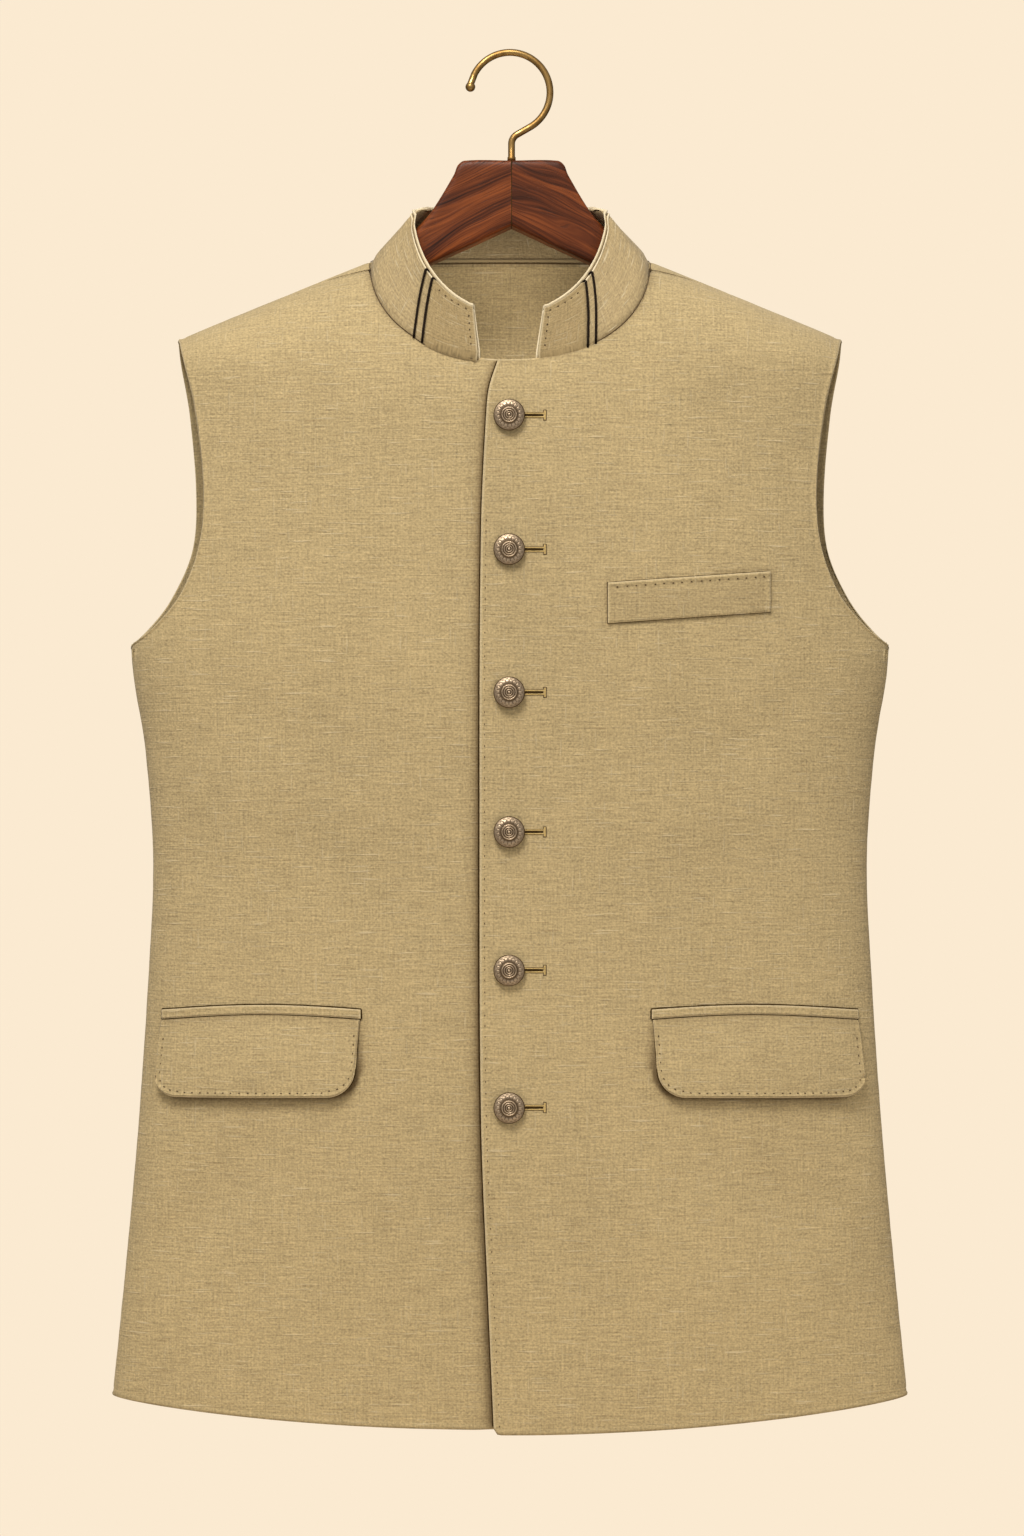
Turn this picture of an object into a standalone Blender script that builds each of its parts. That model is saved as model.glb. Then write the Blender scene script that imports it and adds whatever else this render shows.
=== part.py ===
"""Nehru jacket on a wooden hanger, at real size.

Metres, +Z up. The front faces -Y and the wearer's left is +X. The origin is the point
where a rail carries the hook. Every wall of cloth is an inner face that grows outwards,
so neighbouring panels keep a seam gap inside and open a little groove outside.
"""

import math
from collections import namedtuple

import bmesh
import bpy
from mathutils import Matrix, Vector

COLLECTION = "nehru_jacket"
FRONT, BACK = -1, 1  # the way each face looks along Y
LEFT, RIGHT = 1, -1  # the wearer's sides along X
SIDES = ((LEFT, "left"), (RIGHT, "right"))

# Walls
BODY_WALL = 0.0018
COLLAR_WALL = 0.0028
TAB_WALL = 0.0010
WELT_WALL = 0.0016
JET_WALL = 0.0012
FLAP_WALL = 0.0020
GAP = 0.0003
TRIM_GAP = 0.0004  # under what lies on a panel

# How finely each wall is divided
Grid = namedtuple("Grid", "columns neck_columns arm_rows hem_rows")
PANEL_GRIDS = {FRONT: Grid(17, 7, 17, 13), BACK: Grid(15, 5, 15, 13)}
COLLAR_COLUMNS, COLLAR_ROWS = 44, 4
TAB_COLUMNS, TAB_ROWS = 5, 4
PIPING_STEPS = 7
WELT_COLUMNS, WELT_ROWS = 8, 2
JET_COLUMNS = 14
FLAP_COLUMNS, FLAP_ROWS = 14, 5
BUTTON_STEPS = 20
ARM_SIDES = 16
WIRE_BEVEL = 2

# Neck and shoulders
NECK_HALF_WIDTH = 0.0906
NECK_POINT_HEIGHT = -0.134
NECK_DROP_FRONT = 0.0670
NECK_RISE_BACK = 0.0054
SHOULDER_TIP = 0.2155
SHOULDER_SLOPE = 0.418
RIDGE_ROUNDING = 0.030  # half width over which the two ridges run into each other
ROUND_POWER = 2.2  # of the neckline and of the body's sections; 2 is an ellipse
ROLL_AT_CENTRE = {FRONT: 0.130, BACK: 0.085}  # height in which the cloth turns down
ROLL_AT_TIP = 0.028
SEAM_TURN = math.radians(22.8)  # the shoulder seam lies this far forward at the neck
SEAM_REACH = 0.075  # and meets the ridge this far out

# Outer size of the body at each height
Level = namedtuple("Level", "height half_width front back")
LEVELS = (
    Level(-0.090, 0.2260, 0.0610, 0.0540),
    Level(-0.185, 0.2320, 0.0615, 0.0540),
    Level(-0.290, 0.2385, 0.0620, 0.0545),
    Level(-0.386, 0.2460, 0.0600, 0.0530),
    Level(-0.451, 0.2370, 0.0560, 0.0490),
    Level(-0.524, 0.2320, 0.0525, 0.0450),
    Level(-0.600, 0.2352, 0.0515, 0.0440),
    Level(-0.700, 0.2420, 0.0505, 0.0445),
    Level(-0.800, 0.2512, 0.0500, 0.0455),
    Level(-0.895, 0.2610, 0.0500, 0.0460),
)

# Half width at the armhole; the turn runs from 0 at the shoulder tip to 180 under the arm
Armhole = namedtuple("Armhole", "turn front back")
ARMHOLE = (
    Armhole(0, 0.2155, 0.2155),
    Armhole(30, 0.2105, 0.2146),
    Armhole(60, 0.2020, 0.2092),
    Armhole(90, 0.1964, 0.2056),
    Armhole(110, 0.1988, 0.2079),
    Armhole(130, 0.2105, 0.2205),
    Armhole(150, 0.2300, 0.2360),
    Armhole(165, 0.2432, 0.2445),
    Armhole(180, 0.2460, 0.2460),
)
UNDERARM = -0.386
TURN_POWER = 1.2  # crowds the rows of a panel towards the shoulder
NORMAL_DROP = 0.001  # normals near the ridge are taken this far below it

# Hem and front edge
SIDE_HEM = -0.870
FRONT_HEM_DIP = 0.0157
BACK_HEM_DIP = 0.0020
OVER_HEM_DROP = 0.0030
FrontEdge = namedtuple("FrontEdge", "height x")
FRONT_EDGE = (
    FrontEdge(-0.2035, -0.0078),
    FrontEdge(-0.2200, -0.0132),
    FrontEdge(-0.2350, -0.0150),
    FrontEdge(-0.310, -0.0184),
    FrontEdge(-0.500, -0.0194),
    FrontEdge(-0.680, -0.0184),
    FrontEdge(-0.790, -0.0140),
    FrontEdge(-0.895, -0.0092),
)
UNDER_EDGE = -0.0220
OVERLAP_PUSH = 0.00115  # the over front rises and the under front sinks by this
OVERLAP_FULL, OVERLAP_END = 0.030, 0.075

# Soft folds of the front: the ends of each, its half width and its depth
Fold = namedtuple("Fold", "x0 z0 x1 z1 spread depth")
FOLDS = (
    Fold(-0.150, -0.690, -0.232, -0.792, 0.020, 0.0024),
    Fold(0.126, -0.694, 0.212, -0.772, 0.020, 0.0022),
    Fold(-0.060, -0.500, -0.190, -0.470, 0.022, -0.0014),
    Fold(0.060, -0.505, 0.185, -0.478, 0.022, -0.0012),
)
FOLD_FADE = 0.010  # folds fade where the front comes this near the side seams

# Collar: an upright band that leans in to its rim
COLLAR_BASE_END = math.radians(170.2)  # turn from the centre back to the band's end
COLLAR_TOP_END = math.radians(159.6)
COLLAR_SHIFT = math.radians(0.8)  # how far the opening lies to the wearer's right
COLLAR_RIM_HALF_WIDTH = {FRONT: 0.0627, BACK: 0.0528}
COLLAR_RIM_NARROWING = (-0.15, 0.20)  # cosines between which it goes from one to the other
COLLAR_RIM_CENTRE_Y = -0.0030
COLLAR_RIM_HALF_DEPTH = 0.0385
COLLAR_RIM_SIDE = -0.1010
COLLAR_RIM_DIP_FRONT = 0.0715
COLLAR_RIM_RISE_BACK = 0.0060
COLLAR_RIM_BEND = 0.15  # cosine over which the rim turns from its back to its front
COLLAR_BELLY = 0.0003
COLLAR_INSET = 0.0022  # from the body's outer edge in to the band's inner face
COLLAR_CLEARANCE = 0.0009
PIPING_RADIUS = 0.0006
Piping = namedtuple("Piping", "name base top")  # share of the way to the collar's end
PIPINGS = {
    LEFT: (Piping("outer", 0.838, 0.768), Piping("inner", 0.862, 0.808)),
    RIGHT: (Piping("outer", 0.815, 0.768), Piping("inner", 0.842, 0.808)),
}
PIPING_FOOT = 0.03  # rise at which the pipings begin
TAB_START = {LEFT: (0.868, 0.815), RIGHT: (0.849, 0.815)}
TAB_END = 0.994
TAB_FOOT, TAB_TOP = 0.04, 0.93

# Pockets
Corner = namedtuple("Corner", "x z")
WELT_TOP = (Corner(0.0620, -0.3448), Corner(0.1658, -0.3371))
WELT_DEPTH = 0.0260
POCKET_INNER = {LEFT: 0.0903, RIGHT: 0.0951}  # x of the inner end, by side
POCKET_OUTER = 0.2233
POCKET_HEIGHT = -0.6170  # top of the jet at its inner end
POCKET_ARCH, POCKET_DROOP = 0.0033, 0.0018  # its middle's rise, and its outer end's fall
JET_DEPTH = 0.0060
FLAP_INSET = 0.0006  # from the jet's ends
FLAP_DEPTH, FLAP_SAG = 0.0495, 0.0032  # at its ends, and how much more at its middle
FLAP_OUTER_RADIUS, FLAP_INNER_RADIUS = 0.0136, 0.0185
FLAP_TAPER, FLAP_FLARE = 0.0022, 0.0030  # how its inner and outer edges run outwards
FLAP_STAND_OFF = 0.0040

# Buttons
BUTTON_HEIGHTS = (-0.2387, -0.3239, -0.4146, -0.5035, -0.5917, -0.6794)
BUTTON_X = -0.0005
BUTTON_RADIUS = 0.0100
Turned = namedtuple("Turned", "radius height")
BUTTON_PROFILE = (
    Turned(0.0, 0.0062),
    Turned(0.0022, 0.0059),
    Turned(0.0031, 0.0050),
    Turned(0.0044, 0.0056),
    Turned(0.0055, 0.0049),
    Turned(0.0078, 0.0045),
    Turned(0.0090, 0.0048),
    Turned(BUTTON_RADIUS, 0.0036),
    Turned(0.0094, 0.0023),
    Turned(0.0034, 0.0018),
    Turned(0.0030, 0.0),
    Turned(0.0, 0.0),
)

# Hanger: one row for each section along an arm
Section = namedtuple("Section", "reach top bottom half_depth squareness")
HANGER = (
    Section(0.0000, -0.0689, -0.1118, 0.0105, 5.0),
    Section(0.0300, -0.0690, -0.1258, 0.0105, 5.0),
    Section(0.0345, -0.0722, -0.1278, 0.0105, 5.0),
    Section(0.0368, -0.0780, -0.1289, 0.0105, 5.0),
    Section(0.0510, -0.1014, -0.1355, 0.0100, 4.2),
    Section(0.0610, -0.1125, -0.1402, 0.0090, 3.0),
    Section(0.0750, -0.1290, -0.1470, 0.0088, 2.4),
    Section(0.0950, -0.1450, -0.1600, 0.0100, 2.2),
    Section(0.1150, -0.1510, -0.1663, 0.0130, 2.2),
    Section(0.1450, -0.1590, -0.1792, 0.0160, 2.2),
    Section(0.1750, -0.1713, -0.1932, 0.0172, 2.2),
    Section(0.1950, -0.1795, -0.2025, 0.0165, 2.2),
    Section(0.2030, -0.1850, -0.2040, 0.0140, 2.2),
    Section(0.2060, -0.1905, -0.2005, 0.0085, 2.2),
)
STEM_REACH = 0.1  # the hanger's mitre follows the stem sideways, up to this reach
HOOK_WIRE_RADIUS = 0.00225
HOOK_RADIUS = 0.0260
HOOK_TIP_TURN = math.radians(172)
HOOK_LEAVE_TURN = math.radians(-60)
HOOK_SWEEP_RADIUS = 0.0070
HOOK_STEM_X = 0.0010
HOOK_BALL_RADIUS = 0.0032
HOOK_BALL_TURNS = (15, 40, 65, 90, 115, 135)  # degrees round the ball, one for each ring
HOOK_RING_STEPS, HOOK_RING_START = 24, 2  # the first steps lie inside the ball
HOOK_SWEEP_STEPS = 5

Finish = namedtuple("Finish", "colour roughness metallic")
LINEN = Finish((0.490, 0.360, 0.176), 0.90, 0.0)
CORD = Finish((0.018, 0.011, 0.007), 0.75, 0.0)
BRONZE = Finish((0.210, 0.140, 0.062), 0.38, 1.0)
WALNUT = Finish((0.130, 0.043, 0.016), 0.42, 0.0)
BRASS = Finish((0.560, 0.370, 0.130), 0.28, 1.0)


def mix(start, end, share):
    """The value a share of the way from start to end."""
    return start + (end - start) * share


def eased(share):
    """A share from 0 to 1 that starts and ends slowly."""
    share = min(max(share, 0.0), 1.0)
    return share * share * (3 - 2 * share)


def smooth(rows, at, column):
    """Reads a column of a table at a value of its first column, along a smooth curve."""
    keys = [row[0] for row in rows]
    rising = keys[-1] > keys[0]
    at = min(max(at, min(keys)), max(keys))
    last = len(rows) - 2
    k = next((i for i in range(last) if (at <= keys[i + 1]) == rising or at == keys[i + 1]), last)
    values = [getattr(row, column) for row in rows]

    def slope(i):
        low, high = max(i - 1, 0), min(i + 1, len(rows) - 1)
        return (values[high] - values[low]) / (keys[high] - keys[low])

    span = keys[k + 1] - keys[k]
    t = (at - keys[k]) / span
    return (
        values[k] * (1 + 2 * t) * (1 - t) ** 2
        + slope(k) * span * t * (1 - t) ** 2
        + values[k + 1] * t * t * (3 - 2 * t)
        + slope(k + 1) * span * t * t * (t - 1)
    )


def ridge(x):
    """Height of the shoulders' inner ridge, carried on over the neck in a round crown."""
    wall = BODY_WALL * math.hypot(1, SHOULDER_SLOPE)
    reach = math.hypot(x, RIDGE_ROUNDING) - math.hypot(NECK_HALF_WIDTH, RIDGE_ROUNDING)
    return NECK_POINT_HEIGHT - wall - SHOULDER_SLOPE * reach


def roll_height(x, face):
    """Height over which the cloth turns down from the ridge onto a face."""
    return mix(ROLL_AT_CENTRE[face], ROLL_AT_TIP, eased(abs(x) / SHOULDER_TIP))


def fold_depth(x, z):
    """How far the folds push the front in at a point; less than zero pushes it out."""
    depth = 0.0
    for fold in FOLDS:
        run = Vector((fold.x1 - fold.x0, fold.z1 - fold.z0))
        way = Vector((x - fold.x0, z - fold.z0))
        share = way.dot(run) / run.length_squared
        if 0 < share < 1:
            off = (way - run * share).length / fold.spread
            depth += fold.depth * math.sin(math.pi * share) * math.exp(-off * off)
    return depth


def body_point(x, z, face, seam):
    """A point of the body's inner face; seam is the side on which half the gap is left."""
    fall = min(max((ridge(x) - z) / roll_height(x, face), 0.0), 1.0)
    roll = math.sqrt(1 - (1 - fall) ** 2)
    half_width = smooth(LEVELS, z, "half_width") - BODY_WALL
    depth = smooth(LEVELS, z, "front" if face == FRONT else "back") - BODY_WALL
    share = min(abs(x) / half_width, 1.0)
    y = depth * (1 - share**ROUND_POWER) ** 0.5 * roll
    if face == FRONT:
        y -= fold_depth(x, z) * min(1.0, y / FOLD_FADE)
    return Vector((x, face * y + seam * GAP / 2, z))


def normal_of(point_at, a, b, step=0.001):
    """Unit normal of the surface point_at(a, b), from its slopes along both of them."""
    along_a = point_at(a + step, b) - point_at(a - step, b)
    along_b = point_at(a, b + step) - point_at(a, b - step)
    return along_a.cross(along_b).normalized()


def body_outer(x, z, face, lift=0.0):
    """A point at a height above the outer face of the body."""

    def inner(x, z):
        return body_point(x, z, face, face)

    below_ridge = min(z, ridge(x) - NORMAL_DROP)
    return inner(x, z) - normal_of(inner, x, below_ridge) * face * (BODY_WALL + lift)


def front_point(x, z, lift):
    """A point at a height above the outer face of the front."""
    return body_outer(x, z, FRONT, lift)


def neckline(turn):
    """(x, z) of the neck seam at a turn from the centre back, and the face it is on."""
    power = 2 / ROUND_POWER
    x = math.copysign(abs(math.sin(turn)) ** power, turn)
    x *= NECK_HALF_WIDTH - BODY_WALL * SHOULDER_SLOPE
    share = abs(math.cos(turn)) ** power
    if abs(turn) <= math.pi / 2:
        return x, ridge(NECK_HALF_WIDTH) + NECK_RISE_BACK * share, BACK
    return x, ridge(NECK_HALF_WIDTH) - NECK_DROP_FRONT * share, FRONT


def arm_turn(x, z):
    """The turn, 0 on the shoulder's ridge and pi at the underarm, that gives a height."""
    share = (ridge(x) - z) / (ridge(x) - UNDERARM)
    return math.acos(1 - 2 * min(max(share, 0.0), 1.0))


def arm_height(x, turn):
    """The height that a turn stands for, the inverse of arm_turn."""
    return ridge(x) - (ridge(x) - UNDERARM) * (1 - math.cos(turn)) / 2


def seam_turn(x):
    """Turn of the shoulder seam in front of the ridge."""
    reach = 1 - (abs(x) - NECK_HALF_WIDTH) / SEAM_REACH
    angle = SEAM_TURN * min(max(reach, 0.0), 1.0)
    return arm_turn(x, ridge(x) - roll_height(x, FRONT) * (1 - math.cos(angle)))


class Panel:
    """One of the four body panels, as a grid from its centre edge to its side seam.

    The upper rows run from neckline and shoulder seam to the underarm, spaced by turn;
    the lower rows run on to the hem. x is counted towards the panel's own side.
    """

    def __init__(self, face, side):
        grid = PANEL_GRIDS[face]
        self.face, self.side = face, side
        self.columns, self.neck_columns = grid.columns, grid.neck_columns
        self.arm_rows, self.rows = grid.arm_rows, grid.arm_rows + grid.hem_rows
        self.over = face == FRONT and side == LEFT
        corner = math.pi / 2 + self.corner_turn()
        self.neck_turns = (corner, self.turn_at_x(self.centre_edge(-0.2)))
        self.top = [self.top_point(i) for i in range(self.columns + 1)]

    def corner_turn(self):
        """How far past the ridge the neckline meets the shoulder seam."""
        drop = roll_height(NECK_HALF_WIDTH, FRONT) * (1 - math.cos(SEAM_TURN))
        return math.asin((drop / NECK_DROP_FRONT) ** (ROUND_POWER / 2))

    def centre_edge(self, z):
        """x of the panel's edge at the centre, less than zero past it."""
        if self.face == BACK:
            return GAP / 2
        return smooth(FRONT_EDGE, z, "x") if self.over else UNDER_EDGE

    def turn_at_x(self, x):
        """Neckline turn at the centre edge, which in front may lie across the centre."""
        share = (abs(x) / NECK_HALF_WIDTH) ** (ROUND_POWER / 2)
        angle = math.copysign(math.asin(share), x)
        return angle if self.face == BACK else math.pi - angle

    def top_point(self, i):
        """x and turn of a column's top, on the neckline or on the shoulder seam."""
        corner, centre = self.neck_turns
        if i > self.neck_columns:
            share = (i - self.neck_columns) / (self.columns - self.neck_columns)
            x = mix(abs(neckline(corner)[0]), SHOULDER_TIP, share)
            return x, seam_turn(x) * -self.face
        turn = mix(centre, corner, i / self.neck_columns)
        x, z, face = neckline(min(turn, 2 * math.pi - turn))
        if turn > math.pi:
            x = -x
        return x, arm_turn(x, z) * (1 if face == self.face else -1)

    def x_at(self, i, row, left, right):
        """x of a column in a row, from the top's spacing to one that suits the side."""
        share = i / self.columns
        (first, _), (last, _) = self.top[0], self.top[-1]
        at_top = (self.top[i][0] - first) / (last - first)
        low = math.sin(share * math.pi / 2)
        return mix(left, right, mix(at_top, low, eased(row / self.arm_rows)))

    def hem(self, share):
        """Height of the hem at a share of the way from the centre to the side."""
        dip = FRONT_HEM_DIP if self.face == FRONT else BACK_HEM_DIP
        dip += OVER_HEM_DROP if self.over else 0
        return SIDE_HEM - dip * (1 - share * share)

    def place(self, i, row):
        """The point of the inner face at a column and a row."""
        if row <= self.arm_rows:
            share = (row / self.arm_rows) ** TURN_POWER
            turn = mix(self.top[i][1], math.pi, share)
            right = smooth(ARMHOLE, 180 * share, "front" if self.face == FRONT else "back")
            if row == self.arm_rows:
                right -= BODY_WALL
            first, first_turn = self.top[0]
            left = self.centre_edge(arm_height(first, mix(first_turn, math.pi, share)))
            x = self.x_at(i, row, left, right)
            return self.on_face(x, arm_height(x, turn), turn)
        share = (row - self.arm_rows) / (self.rows - self.arm_rows)
        level = mix(UNDERARM, SIDE_HEM, share)
        right = smooth(LEVELS, level, "half_width") - BODY_WALL
        x = self.x_at(i, self.arm_rows, self.centre_edge(level), right)
        return self.on_face(x, mix(UNDERARM, self.hem(x / right), share), math.pi)

    def on_face(self, x, z, turn):
        """A point of the panel; a turn under 0 has crossed the ridge to the other face."""
        face = self.face if turn >= 0 else -self.face
        point = body_point(self.side * x, z, face, self.face)
        if self.face == FRONT:
            push = 1 - eased((x - OVERLAP_FULL) / (OVERLAP_END - OVERLAP_FULL))
            point.y += OVERLAP_PUSH * push * (FRONT if self.over else BACK)
        return point


def material(name, finish):
    """A plain stand-in for the finish that scene.py gives."""
    made = bpy.data.materials.new(name)
    made.use_nodes = True
    shader = made.node_tree.nodes["Principled BSDF"]
    shader.inputs["Base Color"].default_value = (*finish.colour, 1.0)
    shader.inputs["Roughness"].default_value = finish.roughness
    shader.inputs["Metallic"].default_value = finish.metallic
    made.diffuse_color = (*finish.colour, 1.0)
    return made


def add_object(name, data, finish):
    """Links the node of that name, made from a mesh or a curve."""
    data.materials.append(material(name, finish))
    made = bpy.data.objects.new(name, data)
    bpy.data.collections[COLLECTION].objects.link(made)
    return made


def mesh_object(name, shape, finish):
    """Makes a node from a bmesh, shaded smooth but for its sharp edges."""
    data = bpy.data.meshes.new(name)
    shape.to_mesh(data)
    shape.free()
    data.shade_smooth()
    data.set_sharp_from_angle(angle=math.radians(40))
    return add_object(name, data, finish)


def wall_object(name, place, columns, rows, wall, finish=LINEN):
    """A wall of cloth whose inner face is place(column, row), grown outwards."""
    shape = bmesh.new()
    bmesh.ops.create_grid(shape, x_segments=columns, y_segments=rows, size=0.5)
    for vertex in shape.verts:
        column = round((vertex.co.x + 0.5) * columns)
        vertex.co = place(column, round((0.5 - vertex.co.y) * rows))
    shape.normal_update()
    outward = 0.0
    for face in shape.faces:
        middle = face.calc_center_median()
        outward += face.normal.dot(Vector((middle.x, middle.y, 0.0))) * face.calc_area()
    if outward < 0:
        bmesh.ops.reverse_faces(shape, faces=shape.faces)
    made = mesh_object(name, shape, finish)
    solidify = made.modifiers.new("Wall", "SOLIDIFY")
    solidify.thickness = wall
    solidify.offset = 1.0
    return made


def wire_object(name, points, radius, finish, radii=None):
    """A round wire through points; radii scales it at each of them."""
    curve = bpy.data.curves.new(name, "CURVE")
    curve.dimensions = "3D"
    curve.bevel_depth = radius
    curve.bevel_resolution = WIRE_BEVEL
    curve.use_fill_caps = True
    spline = curve.splines.new("POLY")
    spline.points.add(len(points) - 1)
    for i, (target, point) in enumerate(zip(spline.points, points)):
        target.co = (*point, 1.0)
        target.radius = radii[i] if radii else 1.0
    return add_object(name, curve, finish)


def build_body():
    """The two fronts and the two backs."""
    for face, face_name in ((FRONT, "front"), (BACK, "back")):
        for side, side_name in SIDES:
            panel = Panel(face, side)
            name = f"{side_name}_{face_name}"
            wall_object(name, panel.place, panel.columns, panel.rows, BODY_WALL)


def collar_inner(turn, rise):
    """Inner face of the collar; turn is -1 and 1 at its ends, rise is 1 at its rim."""
    x, z, face = neckline(turn * COLLAR_BASE_END + COLLAR_SHIFT)
    base = body_outer(x, z, face)
    base -= Vector((base.x, base.y, 0.0)).normalized() * COLLAR_INSET
    base.z += COLLAR_CLEARANCE
    angle = turn * COLLAR_TOP_END + COLLAR_SHIFT
    back_share = eased((math.cos(angle) / COLLAR_RIM_BEND + 1) / 2)
    first, last = COLLAR_RIM_NARROWING
    narrowed = eased((math.cos(angle) - first) / (last - first))
    half_width = mix(COLLAR_RIM_HALF_WIDTH[FRONT], COLLAR_RIM_HALF_WIDTH[BACK], narrowed)
    height = mix(COLLAR_RIM_DIP_FRONT, COLLAR_RIM_RISE_BACK, back_share)
    rim = Vector((
        half_width * math.sin(angle),
        COLLAR_RIM_CENTRE_Y + COLLAR_RIM_HALF_DEPTH * math.cos(angle),
        COLLAR_RIM_SIDE + height * math.cos(angle),
    ))
    belly = Vector((base.x, base.y, 0.0)).normalized() * COLLAR_BELLY
    return base.lerp(rim, rise) + belly * 4 * rise * (1 - rise)


def collar_point(turn, rise, lift):
    """A point at a height above the collar's outer face."""
    outward = -normal_of(collar_inner, turn, rise)
    return collar_inner(turn, rise) + outward * (COLLAR_WALL + lift)


def band(i, j):
    """The collar's inner face at a column and a row from its rim."""
    return collar_inner(2 * i / COLLAR_COLUMNS - 1, 1 - j / COLLAR_ROWS)


def tab(side):
    """The facing that ends the collar in front of the pipings."""

    def place(i, j):
        rise = mix(TAB_TOP, TAB_FOOT, j / TAB_ROWS)
        start = mix(*TAB_START[side], rise)
        return collar_point(side * mix(start, TAB_END, i / TAB_COLUMNS), rise, GAP)

    return place, TAB_COLUMNS, TAB_ROWS


def piping_points(side, piping):
    """Centre line of a piping, which leans back as it rises."""
    rises = [mix(PIPING_FOOT, 1.0, k / PIPING_STEPS) for k in range(PIPING_STEPS + 1)]
    turns = [side * mix(piping.base, piping.top, rise) for rise in rises]
    return [collar_point(turn, rise, GAP + PIPING_RADIUS) for turn, rise in zip(turns, rises)]


def build_collar():
    """The band with its front facings and pipings."""
    wall_object("collar_band", band, COLLAR_COLUMNS, COLLAR_ROWS, COLLAR_WALL)
    for side, side_name in SIDES:
        for piping in PIPINGS[side]:
            name = f"collar_piping_{side_name}_{piping.name}"
            wire_object(name, piping_points(side, piping), PIPING_RADIUS, CORD)
        wall_object(f"collar_tab_{side_name}", *tab(side), TAB_WALL)


def welt(i, j):
    """The breast welt at a column and a row from its top."""
    start, end = WELT_TOP
    share = i / WELT_COLUMNS
    x, top = mix(start.x, end.x, share), mix(start.z, end.z, share)
    return front_point(x, top - WELT_DEPTH * j / WELT_ROWS, TRIM_GAP)


def pocket_top(share):
    """Height of the jet's top at a share of its width."""
    return POCKET_HEIGHT + POCKET_ARCH * math.sin(math.pi * share) - POCKET_DROOP * share


def jet(side):
    """The strip that edges the pocket's mouth above the flap."""

    def place(i, j):
        share = i / JET_COLUMNS
        x = mix(POCKET_INNER[side], POCKET_OUTER, share)
        return front_point(side * x, pocket_top(share) - JET_DEPTH * j, TRIM_GAP)

    return place, JET_COLUMNS, 1


def corner_lift(distance, radius):
    """How far a round corner lifts an edge at a distance from the corner's side."""
    if distance >= radius:
        return 0.0
    return radius - math.sqrt(radius**2 - (radius - distance) ** 2)


def flap(side):
    """The pocket's flap, which stands off the front towards its round lower corners."""

    def place(i, j):
        share = (1 - math.cos(math.pi * i / FLAP_COLUMNS)) / 2
        drop = j / FLAP_ROWS
        start, end = POCKET_INNER[side] + FLAP_INSET, POCKET_OUTER - FLAP_INSET
        width = end - start
        lift = corner_lift(width * share, FLAP_INNER_RADIUS)
        lift = max(lift, corner_lift(width * (1 - share), FLAP_OUTER_RADIUS))
        depth = FLAP_DEPTH + FLAP_SAG * math.sin(math.pi * share) - lift
        z = pocket_top(share) - JET_DEPTH - 2 * GAP - depth * drop
        x = mix(start, end, share) + mix(FLAP_TAPER * drop, FLAP_FLARE * math.sqrt(drop), share)
        return front_point(side * x, z, TRIM_GAP + FLAP_STAND_OFF * drop**1.5)

    return place, FLAP_COLUMNS, FLAP_ROWS


def build_pockets():
    """The breast welt, and a jet and a flap for each lower pocket."""
    wall_object("breast_welt", welt, WELT_COLUMNS, WELT_ROWS, WELT_WALL)
    for side, side_name in SIDES:
        wall_object(f"pocket_jet_{side_name}", *jet(side), JET_WALL)
        wall_object(f"pocket_flap_{side_name}", *flap(side), FLAP_WALL)


def build_buttons():
    """Six turned buttons down the over front."""
    for number, height in enumerate(BUTTON_HEIGHTS, 1):
        name = f"button_{number}"
        data = bpy.data.meshes.new(name)
        points = [(step.radius, 0.0, step.height) for step in BUTTON_PROFILE]
        data.from_pydata(points, [(i, i + 1) for i in range(len(points) - 1)], [])
        button = add_object(name, data, BRONZE)
        screw = button.modifiers.new("Turn", "SCREW")
        screw.steps = screw.render_steps = BUTTON_STEPS
        screw.use_merge_vertices = True
        screw.merge_threshold = 0.00001
        screw.use_smooth_shade = True
        seat = front_point(BUTTON_X, height, GAP)
        seat.y -= OVERLAP_PUSH
        button.matrix_world = Matrix.Translation(seat) @ Matrix.Rotation(math.radians(90), 4, "X")


def hanger_arm(side):
    """Closed loft of the arm's sections, from the mitre at the centre to its round end."""
    shape = bmesh.new()
    bmesh.ops.create_grid(shape, x_segments=ARM_SIDES, y_segments=len(HANGER) - 1, size=0.5)
    for vertex in shape.verts:
        row = HANGER[round((vertex.co.y + 0.5) * (len(HANGER) - 1))]
        angle = 2 * math.pi * round((vertex.co.x + 0.5) * ARM_SIDES) / ARM_SIDES
        power = 2 / row.squareness
        across = math.copysign(abs(math.sin(angle)) ** power, math.sin(angle))
        up = math.copysign(abs(math.cos(angle)) ** power, math.cos(angle))
        vertex.co = (
            side * (row.reach + GAP / 2) + HOOK_STEM_X * max(0.0, 1 - row.reach / STEM_REACH),
            row.half_depth * across,
            (row.top + row.bottom) / 2 + (row.top - row.bottom) / 2 * up,
        )
    bmesh.ops.remove_doubles(shape, verts=shape.verts, dist=1e-6)
    bmesh.ops.holes_fill(shape, edges=shape.edges)
    bmesh.ops.recalc_face_normals(shape, faces=shape.faces)
    return shape


def spoke(turn):
    """Unit vector at a turn in the plane of the hook."""
    return Vector((math.cos(turn), 0.0, math.sin(turn)))


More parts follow.
